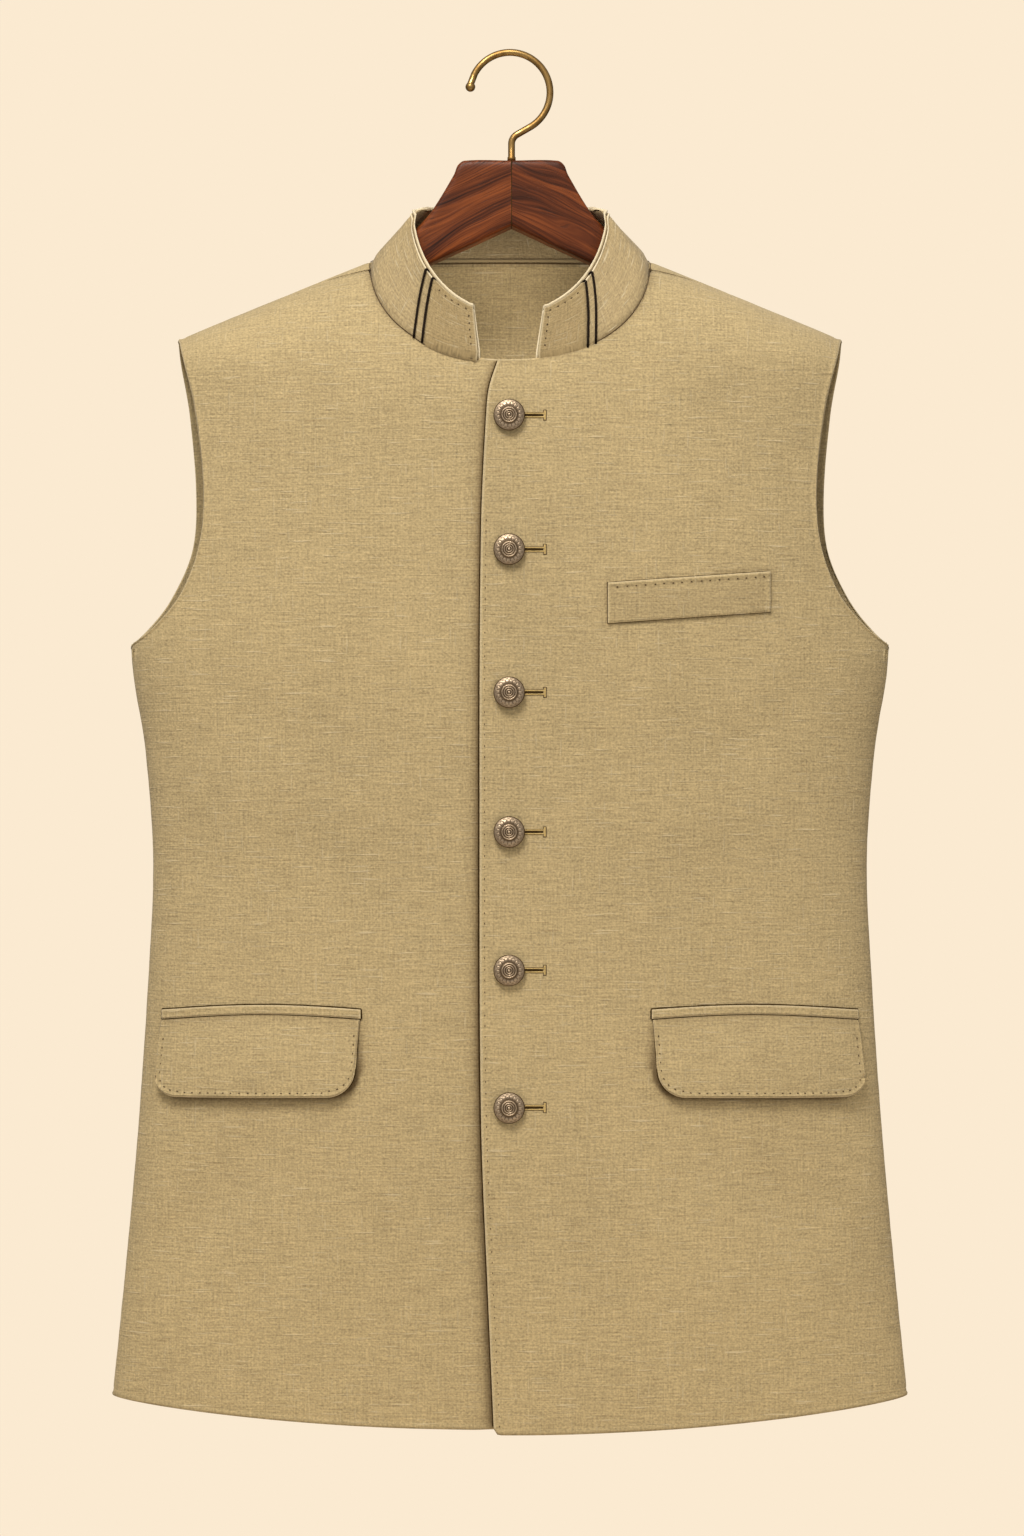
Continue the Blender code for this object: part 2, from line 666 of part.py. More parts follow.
def hook_path():
    """Centre line and wire scale, from the ball end over the top and down to the wood."""
    centre = Vector((0.0, 0.0, HOOK_WIRE_RADIUS - HOOK_RADIUS))
    start = centre + spoke(HOOK_TIP_TURN) * HOOK_RADIUS
    back = spoke(HOOK_TIP_TURN + math.pi / 2)
    points, radii = [], []
    for degrees in HOOK_BALL_TURNS:
        turn = math.radians(degrees)
        points.append(start + back * HOOK_BALL_RADIUS * math.cos(turn))
        radii.append(HOOK_BALL_RADIUS * math.sin(turn) / HOOK_WIRE_RADIUS)
    for k in range(HOOK_RING_START, HOOK_RING_STEPS + 1):
        turn = mix(HOOK_TIP_TURN, HOOK_LEAVE_TURN, k / HOOK_RING_STEPS)
        points.append(centre + spoke(turn) * HOOK_RADIUS)
    ahead = -spoke(HOOK_LEAVE_TURN + math.pi / 2)
    sweep_x = HOOK_STEM_X + HOOK_SWEEP_RADIUS * (1 - math.cos(HOOK_LEAVE_TURN))
    sweep = points[-1] + ahead * (sweep_x - points[-1].x) / ahead.x
    sweep += spoke(HOOK_LEAVE_TURN) * HOOK_SWEEP_RADIUS
    for k in range(HOOK_SWEEP_STEPS + 1):
        turn = HOOK_LEAVE_TURN * (1 - k / HOOK_SWEEP_STEPS)
        points.append(sweep - spoke(turn) * HOOK_SWEEP_RADIUS)
    points.append(Vector((HOOK_STEM_X, 0.0, HANGER[0].top + GAP)))
    return points, radii + [1.0] * (len(points) - len(radii))


def build_hanger():
    """The two wooden arms and the hook of wire."""
    for side, side_name in SIDES:
        mesh_object(f"hanger_arm_{side_name}", hanger_arm(side), WALNUT)
    points, radii = hook_path()
    wire_object("hanger_hook", points, HOOK_WIRE_RADIUS, BRASS, radii)


def main():
    """Clears the startup scene and builds the whole jacket in one collection."""
    for old in list(bpy.data.objects):
        bpy.data.objects.remove(old, do_unlink=True)
    bpy.context.scene.collection.children.link(bpy.data.collections.new(COLLECTION))
    build_body()
    build_collar()
    build_pockets()
    build_buttons()
    build_hanger()


main()
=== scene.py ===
"""Nehru jacket on a wooden hanger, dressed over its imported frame.

Metres, +Z up. The front faces -Y, the wearer's left is +X, and the origin is where a rail
carries the hook. The cloth repeats the frame's own form, drawn finer, with its creases,
rolled edges and sewing.
"""

import sys

import logging
import math
import random
from bisect import bisect_right
from dataclasses import dataclass
from enum import Enum
from functools import cached_property
from typing import Callable, NamedTuple, Sequence, Union

import bpy
from mathutils import Matrix, Vector, noise

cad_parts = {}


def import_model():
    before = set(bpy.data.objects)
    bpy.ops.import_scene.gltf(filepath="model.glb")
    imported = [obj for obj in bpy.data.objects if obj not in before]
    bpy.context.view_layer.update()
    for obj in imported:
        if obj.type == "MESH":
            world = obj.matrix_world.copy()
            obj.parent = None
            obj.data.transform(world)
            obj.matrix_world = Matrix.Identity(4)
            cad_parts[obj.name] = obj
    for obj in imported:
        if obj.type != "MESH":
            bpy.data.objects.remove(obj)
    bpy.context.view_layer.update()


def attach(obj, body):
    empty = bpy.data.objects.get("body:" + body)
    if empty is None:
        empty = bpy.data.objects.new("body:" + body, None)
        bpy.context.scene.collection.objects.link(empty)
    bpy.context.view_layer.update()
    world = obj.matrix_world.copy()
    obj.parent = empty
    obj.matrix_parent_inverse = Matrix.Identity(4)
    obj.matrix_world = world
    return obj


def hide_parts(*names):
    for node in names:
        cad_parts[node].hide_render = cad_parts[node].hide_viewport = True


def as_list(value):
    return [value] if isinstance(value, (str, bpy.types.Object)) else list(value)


LOG = logging.getLogger("nehru_jacket")
CLOTH_UV = "cloth"
RAISED = "raised"
# Point attribute of painted light: above zero a painted highlight on edges and crests, below zero painted
# shade.
PAINTED_LIGHT = "edge"
# How far apart the pieces lie on the cloth laid flat, so that no two show the same threads.
FACES_APART = 1.7
BAND_APART = 3.3
TABS_APART = 4.1
# A short step along a surface, to find its slope.
STEP = 0.001
# The thin dark lines of painted shade along seams: their sides, their first normal and how uneven they are.
SEAM_SIDES = 6
SEAM_NORMAL = Vector((0.3, 1.0, 0.2))
SEAM_PLAY = (0.86, 1.14)

Material = bpy.types.Material
Mesh = bpy.types.Mesh
Piece = bpy.types.Object
Surface = Callable[[float, float], Vector]
Flat = Callable[[float, float], tuple[float, float]]
Colour = tuple[float, float, float]
Grains = tuple[float, float, float]


class Face(Enum):
    """The way a face of the body looks along Y."""

    FRONT = -1
    BACK = 1


class Side(Enum):
    """The wearer's side along X."""

    LEFT = 1
    RIGHT = -1

    @property
    def word(self) -> str:
        """The side as it stands in names."""
        return self.name.lower()


class Border(Enum):
    """A border of a sheet's grid."""

    START = "first column"
    END = "last column"
    TOP = "first row"
    BOTTOM = "last row"


# Numbers


def mix(start: float, end: float, share: float) -> float:
    """The value a share of the way from start to end."""
    return start + (end - start) * share


def held(value: float, low: float = 0.0, high: float = 1.0) -> float:
    """The value, kept between low and high."""
    return min(max(value, low), high)


def eased(share: float) -> float:
    """A share from 0 to 1 that starts and ends slowly."""
    share = held(share)
    return share * share * (3 - 2 * share)


def bell(offset: float) -> float:
    """1 at no offset, falling softly to 0 on both sides."""
    return math.exp(-offset * offset)


def spread(start: float, end: float, count: int) -> list[float]:
    """count + 1 evenly spaced values from start to end."""
    return [mix(start, end, k / count) for k in range(count + 1)]


def graded(count: int, crowding: float) -> list[float]:
    """Shares from 0 to 1 that lie closer at both ends.

    Args:
        count: How many steps there are.
        crowding: 0 for even steps, up to 1 for steps that shrink to nothing.

    Returns:
        count + 1 shares in rising order.
    """
    return [mix(t, (1 - math.cos(math.pi * t)) / 2, crowding) for t in spread(0.0, 1.0, count)]


def refined(values: Sequence[float], start: float, end: float, count: int) -> list[float]:
    """The same values, but evenly spaced ones between a start and an end."""
    outside = [value for value in values if not start < value < end]
    return sorted(outside + spread(start, end, count))


def round_corner(away: float, radius: float) -> float:
    """How far a round corner lifts an edge at a distance from the corner's side."""
    if away >= radius:
        return 0.0
    return radius - math.sqrt(radius**2 - (radius - max(away, 0.0)) ** 2)


def unshaded(u: float, v: float) -> float:
    """The shade of a sheet that lies in none."""
    return 0.0


@dataclass(frozen=True)
class Curve:
    """A smooth line through one column of a table, read by the table's first column."""

    keys: tuple[float, ...]
    values: tuple[float, ...]
    slopes: tuple[float, ...]

    @classmethod
    def of(cls, rows: Sequence[NamedTuple], column: str) -> "Curve":
        """The curve of a named column.

        Args:
            rows: The table, a named tuple for each row.
            column: The column to read.

        Returns:
            The curve, with its keys in rising order.
        """
        ordered = sorted(rows, key=lambda row: row[0])
        keys = [row[0] for row in ordered]
        values = [getattr(row, column) for row in ordered]
        last = len(keys) - 1
        slopes = []
        for k in range(last + 1):
            low, high = max(k - 1, 0), min(k + 1, last)
            slopes.append((values[high] - values[low]) / (keys[high] - keys[low]))
        return cls(tuple(keys), tuple(values), tuple(slopes))

    def __call__(self, at: float) -> float:
        """The column's value at a key, held at the table's ends.

        Args:
            at: The key.

        Returns:
            The value there.
        """
        at = held(at, self.keys[0], self.keys[-1])
        k = held(bisect_right(self.keys, at) - 1, 0, len(self.keys) - 2)
        span = self.keys[k + 1] - self.keys[k]
        t = (at - self.keys[k]) / span
        return (
            self.values[k] * (1 + 2 * t) * (1 - t) ** 2
            + self.slopes[k] * span * t * (1 - t) ** 2
            + self.values[k + 1] * t * t * (3 - 2 * t)
            + self.slopes[k + 1] * span * t * t * (t - 1)
        )


def normal_of(surface: Surface, a: float, b: float, step: float = STEP) -> Vector:
    """Unit normal of a surface, on the side that looks away from the Z axis.

    Args:
        surface: Gives a point for two numbers.
        a: The first number.
        b: The second number.
        step: How far the slopes are taken to each side.

    Returns:
        The normal at surface(a, b).
    """
    along_a = surface(a + step, b) - surface(a - step, b)
    along_b = surface(a, b + step) - surface(a, b - step)
    normal = along_a.cross(along_b).normalized()
    here = surface(a, b)
    return normal if normal.x * here.x + normal.y * here.y > 0 else -normal


# Shaders

Term = Union["Signal", float, Sequence[float]]


class Signal:
    """A shader's value or colour; sums and products of values add their Math nodes."""

    def __init__(self, graph: "Graph", socket: bpy.types.NodeSocket) -> None:
        """Wraps an output socket of a graph's node."""
        self.graph = graph
        self.socket = socket

    def _math(self, operation: str, first: Term, second: Term) -> "Signal":
        """The Math node of an operation on two terms."""
        return self.graph.add("ShaderNodeMath", {"operation": operation}, {0: first, 1: second})

    def __add__(self, other: Term) -> "Signal":
        """self + other."""
        return self._math("ADD", self, other)

    def __sub__(self, other: Term) -> "Signal":
        """self - other."""
        return self._math("SUBTRACT", self, other)

    def __rsub__(self, other: Term) -> "Signal":
        """other - self."""
        return self._math("SUBTRACT", other, self)

    def __mul__(self, other: Term) -> "Signal":
        """self * other."""
        return self._math("MULTIPLY", self, other)

    __radd__ = __add__
    __rmul__ = __mul__

    def step(self, low: float, high: float) -> "Signal":
        """0 below low and 1 above high, or the other way round if low is the higher."""
        settings = {"interpolation_type": "SMOOTHSTEP"}
        return self.graph.add("ShaderNodeMapRange", settings, {0: self, 1: low, 2: high})


class Graph:
    """A tree of nodes to add to."""

    def __init__(self, tree: bpy.types.NodeTree) -> None:
        """Takes the tree."""
        self.nodes, self.links = tree.nodes, tree.links

    def add(
        self,
        kind: str,
        settings: dict[str, object] | None = None,
        inputs: dict[int | str, Term] | None = None,
        output: int | str = 0,
    ) -> Signal:
        """Adds a node.

        Args:
            kind: The node's type.
            settings: Its properties, set first; "stops" are a ramp's (place, colour) pairs.
            inputs: A value or a signal for each socket, by number or by name.
            output: The socket to return.

        Returns:
            The signal of that output.
        """
        node = self.nodes.new(kind)
        for key, value in (settings or {}).items():
            if key == "stops":
                self._set_stops(node.color_ramp, value)
            else:
                setattr(node, key, value)
        for key, value in (inputs or {}).items():
            self.feed(node.inputs[key], value)
        return Signal(self, node.outputs[output])

    @staticmethod
    def _set_stops(ramp: bpy.types.ColorRamp, stops: Sequence[tuple[float, Colour]]) -> None:
        """Gives a ramp its (place, colour) stops.

        Args:
            ramp: The ramp.
            stops: Its stops, in rising order.
        """
        while len(ramp.elements) < len(stops):
            ramp.elements.new(1.0)
        for element, (place, colour) in zip(ramp.elements, stops):
            element.position = place
            element.color = (*colour, 1.0)

    def feed(self, socket: bpy.types.NodeSocket, value: Term) -> None:
        """Links a signal to an input, or sets the input to a value.

        Args:
            socket: The input.
            value: What it gets.
        """
        if isinstance(value, Signal):
            self.links.new(value.socket, socket)
        elif isinstance(value, tuple) and len(value) == 3 and socket.type == "RGBA":
            socket.default_value = (*value, 1.0)
        else:
            socket.default_value = value

    def noise(
        self, place: Signal, stretch: Sequence[float], detail: float = 2.0, seed: float = 0.0
    ) -> Signal:
        """Noise in grains stretched by 1 / stretch metres along each axis.

        Args:
            place: Where on the surface, in metres.
            stretch: Grains to the metre along X, Y and Z.
            detail: How many finer layers there are.
            seed: Moves the pattern.

        Returns:
            A value from 0 to 1, mostly near 0.5.
        """
        spread = self.add("ShaderNodeVectorMath", {"operation": "MULTIPLY"}, {0: place, 1: tuple(stretch)})
        moved = self.add("ShaderNodeVectorMath", {"operation": "ADD"}, {0: spread, 1: (seed, seed, seed)})
        return self.add("ShaderNodeTexNoise", {}, {"Vector": moved, "Scale": 1.0, "Detail": detail})

    def blend(self, factor: Term, first: Term, second: Term) -> Signal:
        """The first colour, with the second laid over it by a factor."""
        settings = {"data_type": "RGBA", "blend_type": "MIX"}
        return self.add("ShaderNodeMix", settings, {0: factor, 6: first, 7: second}, 2)

    def toned(self, colour: Term, tone: Signal) -> Signal:
        """A colour made lighter or darker by a value."""
        return self.add("ShaderNodeVectorMath", {"operation": "SCALE"}, {0: colour, 3: tone})

    def bump(self, height: Signal, distance: float, strength: float = 1.0) -> Signal:
        """A normal pushed by a height, which counts distance metres for each 1."""
        return self.add("ShaderNodeBump", {}, {"Height": height, "Distance": distance, "Strength": strength})


class Dressing(Graph):
    """A material's nodes, with a Principled shader to feed."""

    def __init__(self, name: str) -> None:
        """Makes the material of that name.

        Args:
            name: The material's name.
        """
        self.material = bpy.data.materials.new(name)
        self.material.use_nodes = True
        super().__init__(self.material.node_tree)
        self.shader = self.nodes["Principled BSDF"]

    def surface(self, **values: Term) -> Material:
        """Feeds the shader's sockets, named with _ for spaces, and returns the material."""
        for name, value in values.items():
            self.feed(self.shader.inputs[name.replace("_", " ")], value)
        return self.material


class Layer(NamedTuple):
    """A layer of unevenness in the cloth, with its share in the tone and in the relief."""

    across: float
    up: float
    detail: float
    seed: float
    tone: float
    relief: float


class Slub(NamedTuple):
    """Thick or thin stretches of thread, which start at low and are full at high."""

    across: float
    up: float
    seed: float
    low: float
    high: float
    strength: float
    relief: float


@dataclass(frozen=True)
class Linen:
    """Plain-weave linen: long uneven threads both ways, with thick slubs here and there, with painted
    highlights and painted shade read from a point attribute.
    """

    colour: Colour = (0.442, 0.337, 0.172)
    slub_colour: Colour = (0.660, 0.545, 0.345)
    shade_colour: Colour = (0.225, 0.142, 0.060)
    # The colour that painted shade darkens towards.
    depth_colour: Colour = (0.088, 0.047, 0.014)
    weft: Layer = Layer(42, 1350, 2.0, 3.1, 0.40, 1.0)
    warp: Layer = Layer(1350, 42, 2.0, 7.7, 0.32, 1.0)
    grain: Layer = Layer(640, 760, 1.0, 11.0, 0.92, 0.6)
    lines: Layer = Layer(48, 820, 2.0, 31.0, 0.54, 0.0)
    columns: Layer = Layer(820, 60, 2.0, 37.0, 0.28, 0.0)
    knots: Layer = Layer(430, 520, 2.0, 21.0, 0.34, 1.4)
    wide: Layer = Layer(9, 7, 3.0, 2.0, 0.26, 0.0)
    thin: Slub = Slub(60, 760, 15.0, 0.38, 0.27, 0.26, 0.0)
    thick: tuple[Slub, Slub] = (
        Slub(46, 640, 5.0, 0.62, 0.74, 0.42, 0.9),
        Slub(640, 46, 9.0, 0.65, 0.76, 0.30, 0.7),
    )
    roughness: tuple[float, float] = (0.86, 0.12)
    sheen: float = 0.10
    sheen_roughness: float = 0.6
    specular: float = 0.18
    thread_height: float = 0.00022
    # How far the painted highlight on turned edges and crests goes towards the slub colour.
    edge_wear: float = 0.40

    def material(self, name: str) -> Material:
        """The cloth's material, laid out by its own flat coordinates.

        Args:
            name: The material's name.

        Returns:
            The material.
        """
        graph = Dressing(name)
        flat = graph.add("ShaderNodeUVMap", {"uv_map": CLOTH_UV})
        tone, height, grain = 1.0, 0.0, None
        for layer in (self.weft, self.warp, self.grain, self.lines, self.columns, self.knots, self.wide):
            value = graph.noise(flat, (layer.across, layer.up, 1), layer.detail, layer.seed)
            tone = tone + layer.tone * (value - 0.5)
            if layer.relief:
                height = height + layer.relief * value
            if layer is self.grain:
                grain = value
        colour = graph.toned(self.colour, tone)
        for slub in (self.thin, *self.thick):
            value = graph.noise(flat, (slub.across, slub.up, 1), 1.0, slub.seed).step(slub.low, slub.high)
            laid = self.shade_colour if slub is self.thin else self.slub_colour
            colour = graph.blend(slub.strength * value, colour, laid)
            if slub.relief:
                height = height + slub.relief * value
        # Painted light: the attribute lightens edges and crests as a painted highlight, and below zero
        # darkens the cloth as painted shade.
        edge = graph.add("ShaderNodeAttribute", {"attribute_name": PAINTED_LIGHT}, {}, "Fac")
        colour = graph.blend(self.edge_wear * edge.step(0.0, 1.0), colour, self.slub_colour)
        colour = graph.blend(edge.step(0.0, -1.0), colour, self.depth_colour)
        return graph.surface(
            Base_Color=colour,
            Roughness=self.roughness[0] + self.roughness[1] * (grain - 0.5),
            Sheen_Weight=self.sheen,
            Sheen_Roughness=self.sheen_roughness,
            Specular_IOR_Level=self.specular,
            Normal=graph.bump(height, self.thread_height),
        )


@dataclass(frozen=True)
class Thread:
    """Sewing thread or cord, with its twist."""

    colour: Colour
    roughness: float = 0.62
    sheen: float = 0.08
    specular: float = 0.25
    fibres: Grains = (2600, 2600, 2600)
    clouds: Grains = (160, 160, 160)
    fibre_tone: float = 0.7
    cloud_tone: float = 0.5
    fibre_roughness: float = 0.2
    fibre_height: float = 0.0001

    def material(self, name: str) -> Material:
        """The thread's material, placed by its own coordinates.

        Args:
            name: The material's name.

        Returns:
            The material.
        """
        graph = Dressing(name)
        place = graph.add("ShaderNodeTexCoord", {}, {}, "Object")
        fibre = graph.noise(place, self.fibres, 1.0)
        wide = graph.noise(place, self.clouds, 2.0)
        tone = 1.0 + self.fibre_tone * (fibre - 0.5) + self.cloud_tone * (wide - 0.5)
        return graph.surface(
            Base_Color=graph.toned(self.colour, tone),
            Roughness=self.roughness + self.fibre_roughness * (fibre - 0.5),
            Sheen_Weight=self.sheen,
            Specular_IOR_Level=self.specular,
            Normal=graph.bump(fibre, self.fibre_height),
        )


@dataclass(frozen=True)
class Walnut:
    """Varnished walnut whose grain climbs towards the hanger's mitre."""

    light: Colour = (0.240, 0.060, 0.013)
    middle: Colour = (0.105, 0.024, 0.006)
    dark: Colour = (0.018, 0.005, 0.002)
    climb: float = math.radians(28)
    roughness: float = 0.42
    coat: float = 0.08
    # Painted shade: the wearer's left arm's wood is made darker, as if it stood in more shade.
    darker: float = 0.022
    seeds: tuple[float, float] = (4.0, 9.3)
    drift_grains: Grains = (9, 30, 30)
    drift_reach: float = 0.030
    band_grains: Grains = (7, 90, 150)
    streak_grains: Grains = (18, 420, 900)
    pore_grains: Grains = (70, 900, 2600)
    pore_edge: tuple[float, float] = (0.60, 0.72)
    pore_strength: float = 0.45
    pore_depth: float = 0.00006
    places: tuple[float, float, float] = (0.33, 0.49, 0.66)
    specular: float = 0.16
    coat_roughness: float = 0.25
    uneven: float = 0.10

    def material(self, name: str, side: Side) -> Material:
        """The wood's material for one arm.

        Args:
            name: The material's name.
            side: The arm; the grain of the two is book-matched.

        Returns:
            The material.
        """
        graph = Dressing(name)
        place = graph.add("ShaderNodeTexCoord", {}, {}, "Object")
        turned = graph.add(
            "ShaderNodeVectorRotate",
            {"rotation_type": "Y_AXIS"},
            {"Vector": place, "Angle": -side.value * self.climb},
        )
        seed = self.seeds[0 if side is Side.LEFT else 1]
        drift = graph.noise(turned, self.drift_grains, 2.0, seed)
        bent = graph.add(
            "ShaderNodeVectorMath",
            {"operation": "ADD"},
            {0: turned, 1: graph.add("ShaderNodeCombineXYZ", {}, {2: self.drift_reach * (drift - 0.5)})},
        )
        bands = graph.noise(bent, self.band_grains, 3.0, seed + 1)
        streaks = graph.noise(bent, self.streak_grains, 2.0, seed + 2)
        pores = graph.noise(bent, self.pore_grains, 1.0, seed + 3).step(*self.pore_edge)
        tone = 0.50 * bands + 0.50 * streaks - (self.darker if side is Side.LEFT else 0.0)
        colour = graph.add(
            "ShaderNodeValToRGB",
            {"stops": tuple(zip(self.places, (self.dark, self.middle, self.light)))},
            {0: tone},
        )
        colour = graph.blend(self.pore_strength * pores, colour, self.dark)
        return graph.surface(
            Base_Color=colour,
            Roughness=self.roughness + self.uneven * pores + self.uneven * (streaks - 0.5),
            Specular_IOR_Level=self.specular,
            Coat_Weight=self.coat,
            Coat_Roughness=self.coat_roughness,
            Normal=graph.bump(1.0 - pores, self.pore_depth),
        )


@dataclass(frozen=True)
class AgedMetal:
    """Worn metal: bright where it is rubbed, dark where dirt stays."""

    bright: Colour
    dull: Colour
    roughness: float
    mottling: float
    carved: bool = False
    speck_grains: Grains = (1500, 1500, 1500)
    speck_height: float = 0.00003
    cloud_grains: Grains = (150, 150, 150)
    cloud_edge: tuple[float, float] = (0.34, 0.62)
    raised_edge: tuple[float, float] = (0.22, 0.80)
    clouded: float = 0.30
    dull_roughness: float = 0.20
    speck_roughness: float = 0.3

    def material(self, name: str) -> Material:
        """The metal's material; a carved one reads how far its relief is raised.

        Args:
            name: The material's name.

        Returns:
            The material.
        """
        graph = Dressing(name)
        place = graph.add("ShaderNodeTexCoord", {}, {}, "Object")
        specks = graph.noise(place, self.speck_grains, 2.0)
        clouds = graph.noise(place, self.cloud_grains, 3.0)
        rubbed = clouds.step(*self.cloud_edge)
        if self.carved:
            raised = graph.add("ShaderNodeAttribute", {"attribute_name": RAISED}, {}, "Fac")
            rubbed = raised.step(*self.raised_edge) * (1 - self.clouded + self.clouded * rubbed)
        rubbed = rubbed * (1.0 + self.mottling * (specks - 0.5))
        roughness = self.roughness + self.dull_roughness * (1.0 - rubbed)
        return graph.surface(
            Base_Color=graph.blend(rubbed, self.dull, self.bright),
            Metallic=1.0,
            Roughness=roughness + self.mottling * self.speck_roughness * (specks - 0.5),
            Normal=graph.bump(specks, self.speck_height * self.mottling),
        )


JACKET_LINEN = Linen()
# Painted shade: darker copies of the jacket's linen for the collar band and its facings. The band's light
# slub colour and strong edge highlight paint highlights on its rim rolls.
SHADED_BAND_LINEN = Linen(colour=(0.362, 0.272, 0.140), slub_colour=(0.780, 0.665, 0.450), edge_wear=0.95)
SHADED_FACING_LINEN = Linen(colour=(0.302, 0.220, 0.104), edge_wear=0.60)
STITCHING = Thread(colour=(0.085, 0.052, 0.020))
PIPING = Thread(colour=(0.012, 0.007, 0.004), roughness=0.70, sheen=0.0, specular=0.06)
SILK = Thread(colour=(0.560, 0.400, 0.150), roughness=0.50, sheen=0.1)
# Painted shade: the flat dark colour of thin lines laid where seams, cuts and the mitre sink in.
SEAM_SHADE_PAINT = Thread(colour=(0.045, 0.027, 0.010), roughness=1.0, sheen=0.0, specular=0.0)
BRONZE = AgedMetal((0.600, 0.465, 0.325), (0.110, 0.072, 0.040), 0.40, 0.4, carved=True)
BRASS = AgedMetal((0.500, 0.310, 0.110), (0.280, 0.160, 0.050), 0.27, 0.04)
WALNUT = Walnut()


# Meshes


def add_piece(mesh: Mesh, material: Material, slot: str, *nodes: str) -> Piece:
    """Links a piece of its mesh's name, gives it its finish and ties it to the frame.

    Args:
        mesh: Its mesh.
        material: Its material.
        slot: The name of the record's material slot; not used.
        nodes: The nodes that it stands for.

    Returns:
        The piece.
    """
    mesh.materials.append(material)
    mesh.shade_smooth()
    made = bpy.data.objects.new(mesh.name, mesh)
    bpy.context.scene.collection.objects.link(made)
    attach(made, "root")
    if nodes:
        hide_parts(*nodes)
    LOG.info("%s: %d faces", mesh.name, len(mesh.polygons))
    return made


def mesh_of(name: str, points: Sequence[Vector], faces: Sequence[Sequence[int]]) -> Mesh:
    """A mesh of points and faces.

    Args:
        name: Its name.
        points: Its points.
        faces: The point numbers of each face.

    Returns:
        The mesh.
    """
    mesh = bpy.data.meshes.new(name)
    mesh.from_pydata(points, [], faces)
    mesh.validate()
    return mesh


def grid_faces(columns: int, rows: int, start: int = 0, flip: bool = False) -> list[tuple[int, ...]]:
    """Quads of a grid of points that are numbered row by row.

    Args:
        columns: How many points a row has.
        rows: How many rows there are.
        start: The first point's number.
        flip: Turns the quads over.

    Returns:
        Four point numbers for each quad.
    """
    quads = []
    for j in range(rows - 1):
        for i in range(columns - 1):
            a = start + j * columns + i
            quad = (a, a + 1, a + 1 + columns, a + columns)
            quads.append(quad[::-1] if flip else quad)
    return quads


def tube_faces(rings: int, sides: int, start: int = 0, flip: bool = False) -> list[tuple[int, ...]]:
    """Quads and the two end caps of a tube whose points are numbered ring by ring.

    Args:
        rings: How many rings there are.
        sides: How many points a ring has.
        start: The first point's number.
        flip: Turns the faces over.

    Returns:
        The point numbers of each face.
    """
    faces = []
    for ring in range(rings - 1):
        for k in range(sides):
            a, b = start + ring * sides + k, start + ring * sides + (k + 1) % sides
            faces.append((a, b, b + sides, a + sides))
    last = start + (rings - 1) * sides
    faces += [tuple(range(start + sides - 1, start - 1, -1)), tuple(range(last, last + sides))]
    return [face[::-1] for face in faces] if flip else faces


def ring_of(radius: float, count: int, height: Callable[[float], float]) -> list[Vector]:
    """Points round a circle about the Z axis, each at the height of its angle."""
    angles = [2 * math.pi * k / count for k in range(count)]
    return [Vector((radius * math.cos(angle), radius * math.sin(angle), height(angle))) for angle in angles]


Grid = list[list[Vector]]
Aways = list[list[dict[Border, float]]]
Rolled = Callable[[Border, float, float], float]


def all_rolled(but: Border | None = None, share: float = 0.0) -> Rolled:
    """Says that every border is a turned edge, but one that is so only by a share."""
    return lambda border, u, v: share if border is but else 1.0


class Spacing(NamedTuple):
    """How many steps a sheet's grid has one way, and how they crowd towards its borders."""

    count: int
    crowding: float


@dataclass(frozen=True)
class Pressing:
    """How sewing shapes the cloth along its edges."""

    swell: float = 0.00040
    swell_at: float = 0.0012
    swell_spread: float = 0.0011
    trough: float = 0.00034
    trough_at: float = 0.0040
    trough_spread: float = 0.0015
    seam_dip: float = 0.00060
    seam_spread: float = 0.0014
    seam_round: float = 0.00045
    pucker: float = 0.00022
    pucker_reach: float = 0.0085
    pucker_grains: float = 95
    reach: float = 0.012
    # How far the painted highlight of a turned edge reaches; it also scales the rolls' painted light.
    worn_reach: float = 0.0009

    def lift(self, away: float, rolled: float) -> float:
        """Height of the skin at a distance from a border.

        Args:
            away: The distance.
            rolled: 1 at a turned edge that is stitched flat, 0 at a seam.

        Returns:
            The height, less than zero where the skin is drawn in.
        """
        roll = self.swell * bell((away - self.swell_at) / self.swell_spread)
        roll -= self.trough * bell((away - self.trough_at) / self.trough_spread)
        return mix(-self.seam_dip * bell(away / self.seam_spread), roll, rolled)


